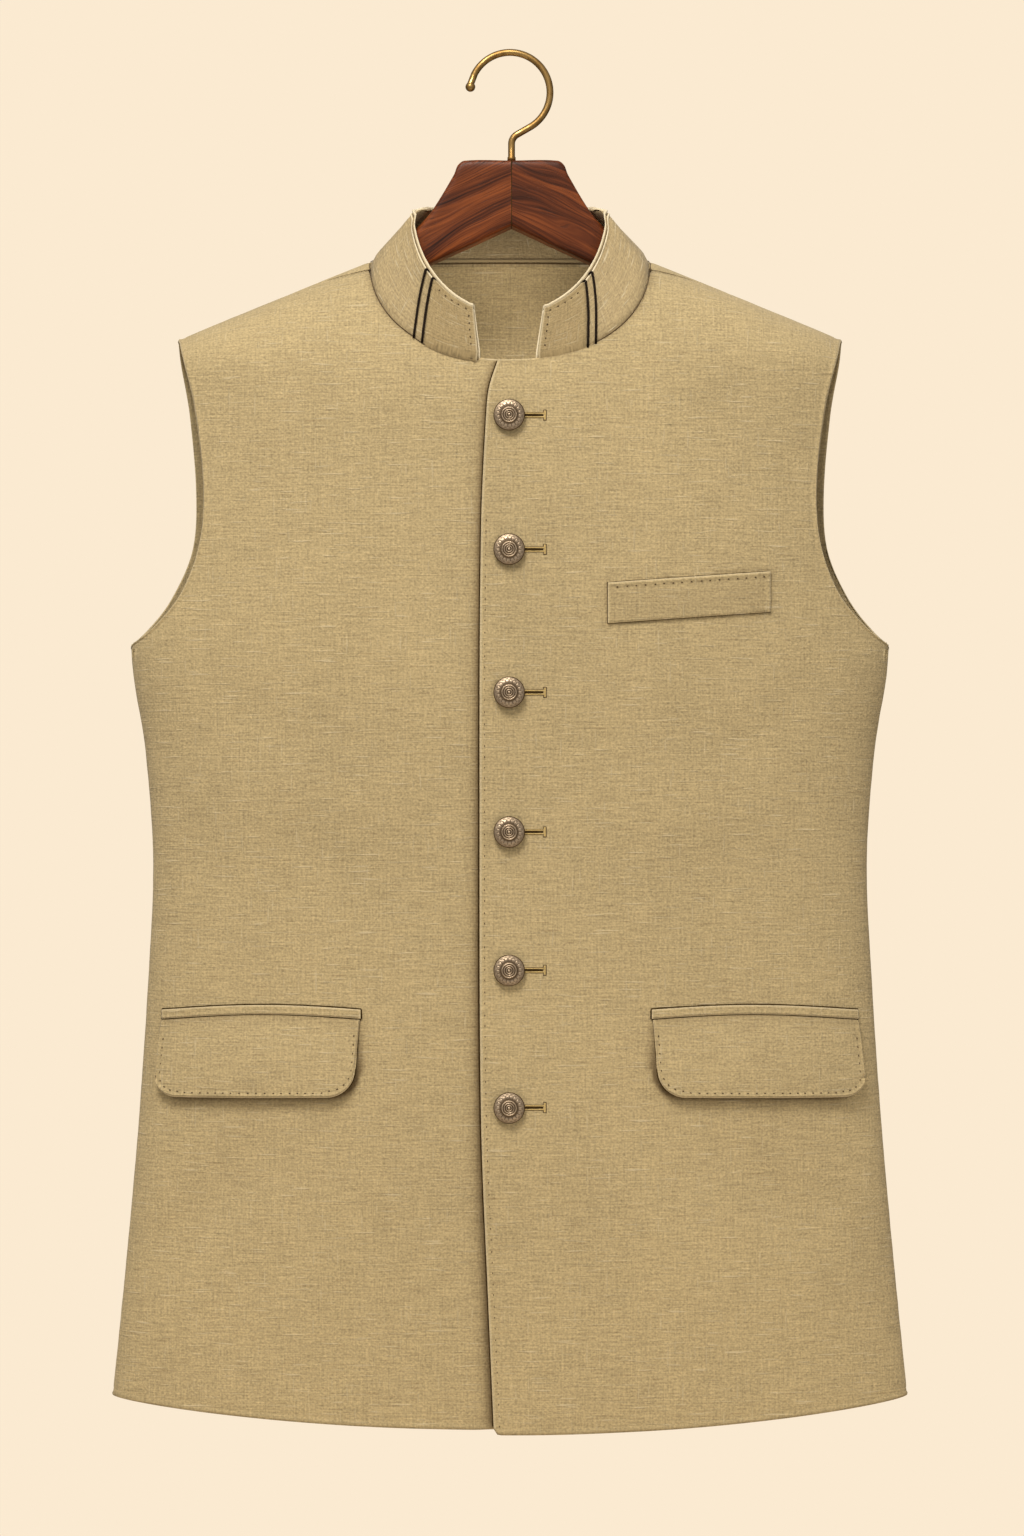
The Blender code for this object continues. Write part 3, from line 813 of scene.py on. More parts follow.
@dataclass(frozen=True)
class ClothSheet:
    """A wall of cloth on a grid: its inner face is given, and it grows outwards."""

    name: str
    inner: Surface
    flat: Flat
    columns: Sequence[float]
    rows: Sequence[float]
    wall: float
    rolled: Rolled
    rims: tuple[Border, ...] = ()
    pressing: Pressing = Pressing()
    rolls: tuple[NamedTuple, ...] = ()
    rim_steps: int = 6
    rim_roundness: float = 0.55
    rim_share: float = 0.9
    # Where the painted light fades out across a rim, from the outer skin in.
    rim_worn: tuple[float, float] = (0.4, 0.7)
    # Painted shade of each place, from 0 up.
    shade: Callable[[float, float], float] = unshaded

    def _normals(self, points: Grid) -> Grid:
        """Unit normals of the grid, all looking away from the Z axis on the whole.

        Args:
            points: The grid of the inner face.

        Returns:
            A normal for each point.
        """
        last_row, last_column = len(points) - 1, len(points[0]) - 1
        normals, facing = [], 0.0
        for j, row in enumerate(points):
            line = []
            for i, point in enumerate(row):
                across = row[min(i + 1, last_column)] - row[max(i - 1, 0)]
                down = points[min(j + 1, last_row)][i] - points[max(j - 1, 0)][i]
                normal = across.cross(down)
                facing += normal.x * point.x + normal.y * point.y
                line.append(normal.normalized())
            normals.append(line)
        if facing < 0:
            normals = [[-normal for normal in line] for line in normals]
        return normals

    @staticmethod
    def _run(line: Sequence[Vector]) -> list[float]:
        """Length along a line of points, at each of them.

        Args:
            line: The points, in order.

        Returns:
            The length at each.
        """
        run = [0.0]
        for before, after in zip(line, line[1:]):
            run.append(run[-1] + (after - before).length)
        return run

    def _aways(self, points: Grid) -> Aways:
        """Distance along the sheet from each point of the grid to each border.

        Args:
            points: The grid of the inner face.

        Returns:
            Each point's distances, by border.
        """
        down = [self._run(column) for column in zip(*points)]
        table = []
        for j, row in enumerate(points):
            across = self._run(row)
            table.append([
                {
                    Border.START: across[i],
                    Border.END: across[-1] - across[i],
                    Border.TOP: down[i][j],
                    Border.BOTTOM: down[i][-1] - down[i][j],
                }
                for i in range(len(row))
            ])
        return table

    def _relief(self, points: Grid, aways: Aways) -> list[list[float]]:
        """Height of the outer skin over an even wall, at each point of the grid.

        Args:
            points: The grid of the inner face.
            aways: How far each point of the grid lies from the borders.

        Returns:
            The heights, row by row.
        """
        heights = []
        for v, row, places in zip(self.rows, points, aways):
            line = []
            for u, point, away in zip(self.columns, row, places):
                height = 0.0
                for border, distance in away.items():
                    if distance < self.pressing.reach:
                        height += self.pressing.lift(distance, self.rolled(border, u, v))
                for roll in self.rolls:
                    height += roll.height * bell((away[Border.TOP] - roll.away) / roll.spread)
                near = math.exp(-min(away.values()) / self.pressing.pucker_reach)
                height += self.pressing.pucker * near * noise.noise(point * self.pressing.pucker_grains)
                line.append(height)
            heights.append(line)
        return heights

    def _wear(self, aways: Aways) -> list[float]:
        """How much painted highlight each point of the outer skin gets or, less than zero, how much painted
        shade.

        Args:
            aways: How far each point of the grid lies from the borders.

        Returns:
            A value for each point, row by row.
        """
        reach, values = self.pressing.worn_reach, []
        for v, places in zip(self.rows, aways):
            for u, away in zip(self.columns, places):
                # Painted highlight along turned edges; the rolls add a painted highlight on their crests and
                # painted shade in their grooves, and the sheet's shade subtracts painted shade.
                painted = max(bell(far / reach) * self.rolled(border, u, v) for border, far in away.items())
                for roll in self.rolls:
                    painted += roll.height / reach * bell((away[Border.TOP] - roll.away) / roll.spread)
                values.append(held(painted) - self.shade(u, v))
        return values

    def _loop(self) -> list[tuple[int, int, Border]]:
        """Grid places round the border, with the border that each is on.

        Returns:
            Column, row and border of each place, in order.
        """
        last_row, last_column = len(self.rows) - 1, len(self.columns) - 1
        loop = [(i, 0, Border.TOP) for i in range(last_column)]
        loop += [(last_column, j, Border.END) for j in range(last_row)]
        loop += [(i, last_row, Border.BOTTOM) for i in range(last_column, 0, -1)]
        loop += [(0, j, Border.START) for j in range(last_row, 0, -1)]
        return loop

    def _outward(self, points: Grid, i: int, j: int) -> Vector:
        """Unit vector that leaves the sheet at a place on its border, in its surface.

        Args:
            points: The grid of the inner face.
            i: Its column.
            j: Its row.

        Returns:
            The vector.
        """
        last_row, last_column = len(points) - 1, len(points[0]) - 1
        way = Vector()
        if i in (0, last_column):
            way += (points[j][i] - points[j][1 if i == 0 else last_column - 1]).normalized()
        if j in (0, last_row):
            way += (points[j][i] - points[1 if j == 0 else last_row - 1][i]).normalized()
        return way.normalized()

    def _bulge(self, share: float, border: Border, radius: float) -> float:
        """How far the rim stands out at a share of the way through the wall.

        Args:
            share: 0 at the outer skin and 1 at the inner face.
            border: The border.
            radius: The most that it may stand out.

        Returns:
            The distance.
        """
        if border in self.rims:
            return radius * self.rim_share * abs(math.sin(2 * math.pi * share)) ** self.rim_roundness
        power = mix(4.0, 2.0, held(radius / (self.wall / 2)))
        return radius * (1 - abs(2 * share - 1) ** power) ** (1 / power)

    def mesh(self) -> Mesh:
        """The closed mesh, with the cloth's flat coordinates on it.

        Returns:
            The mesh.
        """
        points = [[self.inner(u, v) for u in self.columns] for v in self.rows]
        aways = self._aways(points)
        normals, relief = self._normals(points), self._relief(points, aways)
        width, height = len(self.columns), len(self.rows)
        inside = [list(row) for row in points]
        outside = [
            [p + n * (self.wall + lift) for p, n, lift in zip(*lines)]
            for lines in zip(points, normals, relief)
        ]
        loop, radii, ways = self._loop(), [], []
        for i, j, border in loop:
            rolled = self.rolled(border, self.columns[i], self.rows[j])
            radii.append(mix(self.pressing.seam_round, self.wall / 2, rolled))
            ways.append(self._outward(points, i, j))
        for (i, j, _), radius, way in zip(loop, radii, ways):
            inside[j][i] = inside[j][i] - way * radius
            outside[j][i] = outside[j][i] - way * radius
        flat = [self.flat(u, v) for v in self.rows for u in self.columns]
        made = [point for row in outside for point in row] + [point for row in inside for point in row]
        coordinates = flat + flat
        # Painted light on the outer skin only.
        painted = self._wear(aways) + [0.0] * (width * height)
        rings, steps = [], self.rim_steps * 2
        start, end = self.rim_worn
        for (i, j, border), radius, way in zip(loop, radii, ways):
            ring = [j * width + i]
            for k in range(1, steps):
                share = k / steps if border in self.rims else (1 - math.cos(math.pi * k / steps)) / 2
                bulge = way * self._bulge(share, border, radius)
                ring.append(len(made))
                made.append(outside[j][i].lerp(inside[j][i], share) + bulge)
                coordinates.append(flat[j * width + i])
                painted.append(painted[j * width + i] * (1 - eased((share - start) / (end - start))))
            ring.append(width * height + j * width + i)
            rings.append(ring)
        across, down = points[0][1] - points[0][0], points[1][0] - points[0][0]
        flip = across.cross(down).dot(normals[0][0]) < 0
        faces = grid_faces(width, height, 0, flip)
        faces += grid_faces(width, height, width * height, not flip)
        for here, there in zip(rings, rings[1:] + rings[:1]):
            for k in range(len(here) - 1):
                quad = (here[k], here[k + 1], there[k + 1], there[k])
                faces.append(quad[::-1] if flip else quad)
        mesh = mesh_of(self.name, made, faces)
        layer = mesh.uv_layers.new(name=CLOTH_UV)
        values = [value for edge in mesh.loops for value in coordinates[edge.vertex_index]]
        layer.data.foreach_set("uv", values)
        mesh.attributes.new(PAINTED_LIGHT, "FLOAT", "POINT").data.foreach_set("value", painted)
        return mesh


class Stitch(NamedTuple):
    """Where one stitch lies."""

    centre: Vector
    along: Vector
    normal: Vector


@dataclass(frozen=True)
class Sewing:
    """Stitches of one thread, each a short arched capsule."""

    length: float
    radius: float
    arch: float
    sides: int = 6
    sway: float = 0.08
    play: float = 0.08
    slope_step: float = 0.0004
    rings: tuple[tuple[float, float], ...] = (
        (-0.97, 0.45), (-0.75, 0.85), (-0.3, 1.0), (0.3, 1.0), (0.75, 0.85), (0.97, 0.45)
    )

    def row(
        self,
        surface: Surface,
        path: Sequence[tuple[float, float]],
        pitch: float,
        lift: float,
        turn: float = 0.0,
        seed: int = 1,
    ) -> list[Stitch]:
        """Stitches in a row on a surface.

        Args:
            surface: What is sewn.
            path: The row, as the surface's two numbers.
            pitch: Distance from stitch to stitch.
            lift: Height of the thread's root over the surface.
            turn: Angle of each stitch to the row.
            seed: Of the small unevenness of hand and machine.

        Returns:
            The stitches.
        """
        draw = random.Random(seed)
        places = [surface(*step) for step in path]
        run = ClothSheet._run(places)
        stitches, at = [], pitch / 2
        while at < run[-1]:
            k = min(bisect_right(run, at) - 1, len(path) - 2)
            share = (at - run[k]) / (run[k + 1] - run[k])
            a, b = (mix(first, last, share) for first, last in zip(path[k], path[k + 1]))
            normal = normal_of(surface, a, b, self.slope_step)
            along = (places[k + 1] - places[k]).normalized()
            along = Matrix.Rotation(turn + draw.uniform(-self.sway, self.sway), 3, normal) @ along
            stitches.append(Stitch(surface(a, b) + normal * lift, along, normal))
            at += pitch * draw.uniform(1 - self.play, 1 + self.play)
        return stitches

    def mesh(self, name: str, stitches: Sequence[Stitch]) -> Mesh:
        """One mesh of all the stitches.

        Args:
            name: The mesh's name.
            stitches: Where they lie.

        Returns:
            The mesh.
        """
        points, faces = [], []
        for stitch in stitches:
            first = len(points)
            across = stitch.normal.cross(stitch.along).normalized()
            for along, thick in self.rings:
                centre = stitch.centre + stitch.along * along * self.length / 2
                centre += stitch.normal * self.arch * (1 - along * along)
                for k in range(self.sides):
                    angle = 2 * math.pi * k / self.sides
                    spoke = across * math.cos(angle) + stitch.normal * math.sin(angle)
                    points.append(centre + spoke * self.radius * thick)
            faces += tube_faces(len(self.rings), self.sides, first)
        return mesh_of(name, points, faces)


def tube_mesh(
    name: str,
    path: Sequence[Vector],
    radius: Callable[[int, float, float], float],
    sides: int,
    first_normal: Vector,
) -> Mesh:
    """A closed tube along a path.

    Args:
        name: The mesh's name.
        path: Its centre line.
        radius: Gives the radius at a step, a length along the path and an angle.
        sides: How many sides it has.
        first_normal: The way of angle 0 at the start.

    Returns:
        The mesh.
    """
    points, run, normal = [], 0.0, first_normal
    for step, point in enumerate(path):
        before, after = path[max(step - 1, 0)], path[min(step + 1, len(path) - 1)]
        along = (after - before).normalized()
        run += (point - before).length
        normal = (normal - along * normal.dot(along)).normalized()
        across = along.cross(normal)
        for k in range(sides):
            angle = 2 * math.pi * k / sides
            spoke = normal * math.cos(angle) + across * math.sin(angle)
            points.append(point + spoke * radius(step, run, angle))
    return mesh_of(name, points, tube_faces(len(path), sides))


def sunk_seam(
    name: str,
    paths: Sequence[Sequence[Vector]],
    radius: float = 0.00038,
    growth: float = 1.0,
) -> Mesh:
    """One mesh of thin dark lines laid on the cloth as painted shade, where seams sink into it.

    Args:
        name: The mesh's name.
        paths: The lines.
        radius: Half their width at their start.
        growth: How many times wider they are at their end.

    Returns:
        The mesh.
    """
    points, faces = [], []
    for number, path in enumerate(paths):
        draw, last = random.Random(number), len(path) - 1

        def uneven(step: int, run: float, angle: float) -> float:
            """The line's radius at a step."""
            return radius * mix(1.0, growth, step / last) * draw.uniform(*SEAM_PLAY)

        line = tube_mesh(name, path, uneven, SEAM_SIDES, SEAM_NORMAL)
        first = len(points)
        points += [vertex.co.copy() for vertex in line.vertices]
        faces += [tuple(first + k for k in face.vertices) for face in line.polygons]
        bpy.data.meshes.remove(line)
    return mesh_of(name, points, faces)


# Forms


class Level(NamedTuple):
    """Outer size of the body at a height."""

    height: float
    half_width: float
    front: float
    back: float


class Armhole(NamedTuple):
    """Half width at the armhole, by a turn from 0 at the shoulder tip to 180 under the arm."""

    turn: float
    front: float
    back: float


class FrontEdge(NamedTuple):
    """Where the edge of the over front lies at a height."""

    height: float
    x: float


class Crease(NamedTuple):
    """A soft trough from one end to the other; one with less than no depth is a ridge."""

    face: Face
    x0: float
    z0: float
    x1: float
    z1: float
    spread: float
    depth: float


@dataclass(frozen=True)
class BodyForm:
    """The form on which the fronts, the backs and their pockets lie."""

    wall: float = 0.0018
    gap: float = 0.0
    neck_half_width: float = 0.0906
    neck_point_height: float = -0.134
    neck_drop_front: float = 0.0670
    neck_rise_back: float = 0.0054
    shoulder_tip: float = 0.2155
    shoulder_slope: float = 0.418
    ridge_rounding: float = 0.030
    round_power: float = 2.2
    flatness: float = 0.22
    roll_at_centre_front: float = 0.130
    roll_at_centre_back: float = 0.085
    roll_at_tip: float = 0.028
    seam_turn: float = math.radians(22.8)
    seam_reach: float = 0.075
    crease_fade: float = 0.010
    crease_reach: float = 4.0
    banks: tuple[tuple[float, float], ...] = ((0.28, 1.7), (0.16, -1.9))
    unevenness: float = 0.0007
    uneven_grains: Grains = (13, 5.0, 11)
    girth_steps: int = 80
    fall_depth: float = 0.058
    fall_steps: int = 6
    # Painted shade on the fronts just below the collar.
    neck_shade: float = 0.46
    neck_shade_reach: float = 0.0026
    levels: tuple[Level, ...] = (
        Level(-0.090, 0.2260, 0.0610, 0.0540),
        Level(-0.185, 0.2320, 0.0615, 0.0540),
        Level(-0.290, 0.2385, 0.0620, 0.0545),
        Level(-0.386, 0.2460, 0.0600, 0.0530),
        Level(-0.451, 0.2370, 0.0560, 0.0490),
        Level(-0.524, 0.2320, 0.0525, 0.0450),
        Level(-0.600, 0.2352, 0.0515, 0.0440),
        Level(-0.700, 0.2420, 0.0505, 0.0445),
        Level(-0.800, 0.2512, 0.0500, 0.0455),
        Level(-0.895, 0.2610, 0.0500, 0.0460),
    )
    creases: tuple[Crease, ...] = (
        Crease(Face.FRONT, -0.150, -0.690, -0.232, -0.792, 0.020, 0.0024),
        Crease(Face.FRONT, 0.126, -0.694, 0.212, -0.772, 0.020, 0.0022),
        Crease(Face.FRONT, -0.060, -0.500, -0.190, -0.470, 0.022, -0.0014),
        Crease(Face.FRONT, 0.060, -0.505, 0.185, -0.478, 0.022, -0.0012),
        Crease(Face.FRONT, -0.205, -0.400, -0.120, -0.455, 0.012, 0.0009),
        Crease(Face.FRONT, 0.208, -0.402, 0.128, -0.462, 0.013, 0.0010),
        Crease(Face.FRONT, -0.085, -0.705, -0.150, -0.842, 0.016, -0.0009),
        Crease(Face.FRONT, 0.072, -0.700, 0.118, -0.826, 0.018, -0.0008),
        Crease(Face.FRONT, 0.030, -0.720, 0.050, -0.850, 0.013, 0.0007),
        Crease(Face.FRONT, -0.185, -0.160, -0.120, -0.235, 0.015, 0.0008),
        Crease(Face.FRONT, 0.182, -0.158, 0.125, -0.250, 0.016, 0.0008),
        Crease(Face.FRONT, -0.215, -0.500, -0.140, -0.560, 0.014, 0.0007),
        Crease(Face.BACK, -0.135, -0.235, -0.118, -0.520, 0.028, 0.0026),
        Crease(Face.BACK, 0.142, -0.250, 0.112, -0.490, 0.026, 0.0023),
        Crease(Face.BACK, -0.030, -0.560, -0.185, -0.505, 0.018, 0.0019),
        Crease(Face.BACK, 0.045, -0.585, 0.190, -0.520, 0.020, 0.0021),
        Crease(Face.BACK, -0.070, -0.660, -0.215, -0.790, 0.022, 0.0020),
        Crease(Face.BACK, 0.090, -0.640, 0.205, -0.760, 0.018, 0.0017),
        Crease(Face.BACK, -0.200, -0.405, -0.110, -0.470, 0.013, 0.0012),
        Crease(Face.BACK, 0.202, -0.400, 0.120, -0.455, 0.014, 0.0011),
        Crease(Face.BACK, -0.075, -0.175, 0.060, -0.185, 0.014, -0.0010),
    )

    @cached_property
    def half_width(self) -> Curve:
        """Outer half width by height."""
        return Curve.of(self.levels, "half_width")

    @cached_property
    def depths(self) -> dict[Face, Curve]:
        """Outer depth of each face by height."""
        return {Face.FRONT: Curve.of(self.levels, "front"), Face.BACK: Curve.of(self.levels, "back")}

    @cached_property
    def girth(self) -> tuple[float, ...]:
        """Length along a section, in half widths, at each step of the way to the side."""
        run, before = [0.0], (0.0, 1.0)
        for k in range(1, self.girth_steps + 1):
            share = math.sin(math.pi / 2 * k / self.girth_steps)
            here = (share, (1 - share**self.round_power) ** 0.5)
            rise = self.flatness * (here[1] - before[1])
            run.append(run[-1] + math.hypot(here[0] - before[0], rise))
            before = here
        return tuple(run)

    def ridge(self, x: float) -> float:
        """Height of the shoulders' inner ridge, carried on over the neck in a round crown.

        Args:
            x: Where across.

        Returns:
            The height.
        """
        wall = self.wall * math.hypot(1, self.shoulder_slope)
        reach = math.hypot(x, self.ridge_rounding)
        reach -= math.hypot(self.neck_half_width, self.ridge_rounding)
        return self.neck_point_height - wall - self.shoulder_slope * reach

    def roll_height(self, x: float, face: Face) -> float:
        """Height over which the cloth turns down from the ridge onto a face."""
        centre = self.roll_at_centre_front if face is Face.FRONT else self.roll_at_centre_back
        return mix(centre, self.roll_at_tip, eased(abs(x) / self.shoulder_tip))

    def drawn_in(self, x: float, z: float, face: Face) -> float:
        """How far creases and the cloth's unevenness draw a face in at a point.

        Args:
            x: Where across.
            z: Where up.
            face: The front or the back.

        Returns:
            The depth.
        """
        across, by_face, up = self.uneven_grains
        depth = self.unevenness * noise.noise(Vector((x * across, face.value * by_face, z * up)))
        for crease in self.creases:
            if crease.face is not face:
                continue
            run_x, run_z = crease.x1 - crease.x0, crease.z1 - crease.z0
            length = math.hypot(run_x, run_z)
            along = ((x - crease.x0) * run_x + (z - crease.z0) * run_z) / length**2
            if not 0 < along < 1:
                continue
            off = ((x - crease.x0) * run_z - (z - crease.z0) * run_x) / length / crease.spread
            if abs(off) < self.crease_reach:
                shape = bell(off)
                for share, place in self.banks:
                    shape -= share * bell(off - place)
                depth += crease.depth * math.sin(math.pi * along) * shape
        return depth

    def point(self, x: float, z: float, face: Face, seam: int) -> Vector:
        """A point of the inner face.

        Args:
            x: Where across.
            z: Where up.
            face: The front or the back.
            seam: -1 or 1, the side on which half the gap of a seam is left.

        Returns:
            The point.
        """
        fall = held((self.ridge(x) - z) / self.roll_height(x, face))
        roll = math.sqrt(1 - (1 - fall) ** 2)
        share = min(abs(x) / (self.half_width(z) - self.wall), 1.0)
        depth = self.depths[face](z) - self.wall
        y = depth * (1 - share**self.round_power) ** 0.5 * roll
        y -= self.drawn_in(x, z, face) * min(1.0, y / self.crease_fade)
        return Vector((x, face.value * y + seam * self.gap / 2, z))

    def outer(self, x: float, z: float, face: Face, lift: float = 0.0) -> Vector:
        """A point at a height above the outer skin.

        Args:
            x: Where across.
            z: Where up.
            face: The front or the back.
            lift: How far above the skin.

        Returns:
            The point.
        """

        def inner(x: float, z: float) -> Vector:
            """A point of the inner face."""
            return self.point(x, z, face, face.value)

        below_ridge = min(z, self.ridge(x) - STEP)
        return inner(x, z) + normal_of(inner, x, below_ridge) * (self.wall + lift)

    def flat(self, x: float, z: float, face: Face) -> tuple[float, float]:
        """Where a point lies on the cloth laid flat, across and up.

        Args:
            x: Where across.
            z: Where up.
            face: The front or the back.

        Returns:
            Across and up, in metres.
        """
        half_width = self.half_width(z)
        share = math.asin(held(abs(x) / half_width)) / (math.pi / 2) * self.girth_steps
        k = min(int(share), self.girth_steps - 1)
        across = half_width * mix(self.girth[k], self.girth[k + 1], share - k)
        roll_height = self.roll_height(x, face)
        fall = held((self.ridge(x) - z) / roll_height)
        start, up = math.acos(1 - fall), z
        if fall < 1:
            up, steps = self.ridge(x) - roll_height, self.fall_steps
            for step in range(steps):
                angle = mix(start, math.pi / 2, (step + 0.5) / steps)
                slope = math.hypot(roll_height * math.sin(angle), self.fall_depth * math.cos(angle))
                up += slope * (math.pi / 2 - start) / steps
        return math.copysign(across, x) + face.value * FACES_APART, up

    def collar_shade(self, x: float, z: float) -> float:
        """How deep in the collar's painted shade a place of the fronts lies.

        Args:
            x: Where across.
            z: Where up.

        Returns:
            From 0, in none, to 1.
        """
        centre = self.ridge(self.neck_half_width)
        down = max(centre - z, 0.0)
        power = self.round_power
        ring = (abs(x) / self.neck_half_width) ** power + (down / self.neck_drop_front) ** power
        away = (1 - ring ** (-1 / power)) * math.hypot(x, down)
        return self.neck_shade * math.exp(-max(away, 0.0) / self.neck_shade_reach) if z < centre else 0.0

    def neckline(self, turn: float) -> tuple[float, float, Face]:
        """x, z and face of the neck seam at a turn from the centre back.

        Args:
            turn: 0 at the centre back and pi at the centre front.

        Returns:
            x, z and the face that it lies on.
        """
        power = 2 / self.round_power
        x = math.copysign(abs(math.sin(turn)) ** power, turn)
        x *= self.neck_half_width - self.wall * self.shoulder_slope
        share = abs(math.cos(turn)) ** power
        if abs(turn) <= math.pi / 2:
            return x, self.ridge(self.neck_half_width) + self.neck_rise_back * share, Face.BACK
        return x, self.ridge(self.neck_half_width) - self.neck_drop_front * share, Face.FRONT


@dataclass(frozen=True)
class Panel:
    """One of the four body panels: u runs from its centre edge to its side seam.

    v runs from 0 at the neck and shoulder seams to 1 at the underarm and 2 at the hem.
    x is counted towards the panel's own side.
    """

    form: BodyForm
    face: Face
    side: Side
    underarm: float = -0.386
    turn_power: float = 1.2
    side_hem: float = -0.870
    front_hem_dip: float = 0.0157
    back_hem_dip: float = 0.0020
    over_hem_drop: float = 0.0030
    under_edge: float = -0.0220
    overlap_push: float = 0.00115
    overlap_full: float = 0.030
    overlap_end: float = 0.075
    front_neck_share: float = 0.42
    back_neck_share: float = 0.34
    armhole: tuple[Armhole, ...] = (
        Armhole(0, 0.2155, 0.2155),
        Armhole(30, 0.2105, 0.2146),
        Armhole(60, 0.2020, 0.2092),
        Armhole(90, 0.1964, 0.2056),
        Armhole(110, 0.1988, 0.2079),
        Armhole(130, 0.2105, 0.2205),
        Armhole(150, 0.2300, 0.2360),
        Armhole(165, 0.2432, 0.2445),
        Armhole(180, 0.2460, 0.2460),
    )
    front_edge: tuple[FrontEdge, ...] = (
        FrontEdge(-0.2035, -0.0078),
        FrontEdge(-0.2200, -0.0132),
        FrontEdge(-0.2350, -0.0150),
        FrontEdge(-0.310, -0.0184),
        FrontEdge(-0.500, -0.0194),
        FrontEdge(-0.680, -0.0184),
        FrontEdge(-0.790, -0.0140),
        FrontEdge(-0.895, -0.0092),
    )
    neck_level: float = -0.2
    free_neck: float = 0.0150
    free_neck_fade: float = 0.006
    # Painted shade: from the pockets and the collar, along the hem, and beside the over front's edge.
    shade: Callable[[float, float], float] | None = None
    hem_corner: float = 0.0040
    hem_shade: tuple[float, float] = (1.35, 0.0011)
    edge_shade: tuple[float, float] = (0.80, 0.95)
    edge_shade_reach: tuple[float, float] = (0.0036, 0.0054)
    hollow_start: float = -0.21
    hollow_run: float = 0.66
    hollow_depth: float = 0.0034
    hollow_power: float = 0.7
    hollow_spread: float = 0.0085
    arm_rolled: tuple[float, float] = (0.96, 0.06)
    columns: Spacing = Spacing(58, 0.72)
    arm_rows: int = 62
    hem_rows: int = 84
    hem_crowding: float = 0.77
    fine_rows: tuple[float, float, int] = (1.43, 1.66, 64)
    fine_columns: tuple[tuple[float, float, int], ...] = ((0.07, 0.20, 30), (0.24, 0.35, 22))

    @property
    def over(self) -> bool:
        """True for the front that lies on the other one."""
        return self.face is Face.FRONT and self.side is Side.LEFT

    @cached_property
    def arm_curve(self) -> Curve:
        """Half width at the armhole, by turn."""
        return Curve.of(self.armhole, self.face.name.lower())

    @cached_property
    def edge_curve(self) -> Curve:
        """x of the over front's edge, by height."""
        return Curve.of(self.front_edge, "x")

    @cached_property
    def neck_turns(self) -> tuple[float, float]:
        """Neckline turns at the shoulder seam and at the centre edge."""
        form = self.form
        drop = form.roll_height(form.neck_half_width, Face.FRONT) * (1 - math.cos(form.seam_turn))
        corner = math.asin((drop / form.neck_drop_front) ** (form.round_power / 2))
        x = self.centre_edge(self.neck_level)
        share = (abs(x) / form.neck_half_width) ** (form.round_power / 2)
        centre = math.copysign(math.asin(share), x)
        return math.pi / 2 + corner, centre if self.face is Face.BACK else math.pi - centre

    def centre_edge(self, z: float) -> float:
        """x of the edge at the centre, less than zero past it."""
        if self.face is Face.BACK:
            return self.form.gap / 2
        return self.edge_curve(z) if self.over else self.under_edge

    def arm_turn(self, x: float, z: float) -> float:
        """The turn, 0 on the shoulder's ridge and pi at the underarm, that gives a height."""
        ridge = self.form.ridge(x)
        return math.acos(1 - 2 * held((ridge - z) / (ridge - self.underarm)))

    def arm_height(self, x: float, turn: float) -> float:
        """The height that a turn stands for, the inverse of arm_turn."""
        ridge = self.form.ridge(x)
        return ridge - (ridge - self.underarm) * (1 - math.cos(turn)) / 2

    def shoulder_turn(self, x: float) -> float:
        """Turn of the shoulder seam in front of the ridge.

        Args:
            x: Where across.

        Returns:
            The turn.
        """
        form = self.form
        reach = 1 - (abs(x) - form.neck_half_width) / form.seam_reach
        drop = form.roll_height(x, Face.FRONT) * (1 - math.cos(form.seam_turn * held(reach)))
        return self.arm_turn(x, form.ridge(x) - drop)

    def top(self, u: float) -> tuple[float, float]:
        """x and turn of a column's top, on the neckline or on the shoulder seam.

        Args:
            u: The column.

        Returns:
            x and the turn.
        """
        corner, centre = self.neck_turns
        neck_share = self.front_neck_share if self.face is Face.FRONT else self.back_neck_share
        if u > neck_share:
            share = (u - neck_share) / (1 - neck_share)
            x = mix(abs(self.form.neckline(corner)[0]), self.form.shoulder_tip, share)
            return x, self.shoulder_turn(x) * -self.face.value
        turn = mix(centre, corner, u / neck_share)
        x, z, face = self.form.neckline(min(turn, 2 * math.pi - turn))
        if turn > math.pi:
            x = -x
        return x, self.arm_turn(x, z) * (1 if face is self.face else -1)

    def across(self, u: float, v: float, left: float, right: float) -> float:
        """x of a column in a row, from the top's spacing to one that suits the side."""
        first, last = self.top(0.0)[0], self.top(1.0)[0]
        at_top = (self.top(u)[0] - first) / (last - first)
        return mix(left, right, mix(at_top, math.sin(u * math.pi / 2), eased(v)))

    def hem(self, share: float) -> float:
        """Height of the hem at a share of the way from the centre to the side."""
        dip = self.front_hem_dip if self.face is Face.FRONT else self.back_hem_dip
        dip += self.over_hem_drop if self.over else 0
        return self.side_hem - dip * (1 - share * share)

    def spot(self, u: float, v: float) -> tuple[float, float, float]:
        """x, z and turn of a place on the panel.

        Args:
            u: The column.
            v: The row.

        Returns:
            x, z and the turn.
        """
        form = self.form
        if v <= 1:
            share = v**self.turn_power
            turn = mix(self.top(u)[1], math.pi, share)
            right = self.arm_curve(180 * share) - (form.wall if v == 1 else 0.0)
            edge, edge_turn = self.top(0.0)
            left = self.centre_edge(self.arm_height(edge, mix(edge_turn, math.pi, share)))
            x = self.across(u, v, left, right)
            return x, self.arm_height(x, turn), turn
        level = mix(self.underarm, self.side_hem, v - 1)
        right = form.half_width(level) - form.wall
        edge = self.centre_edge(level)
        x = self.across(u, 1.0, edge, right)
        hem = self.hem(x / right)
        if self.over:
            hem += round_corner(x - edge, self.hem_corner)
        return x, mix(self.underarm, hem, v - 1), math.pi

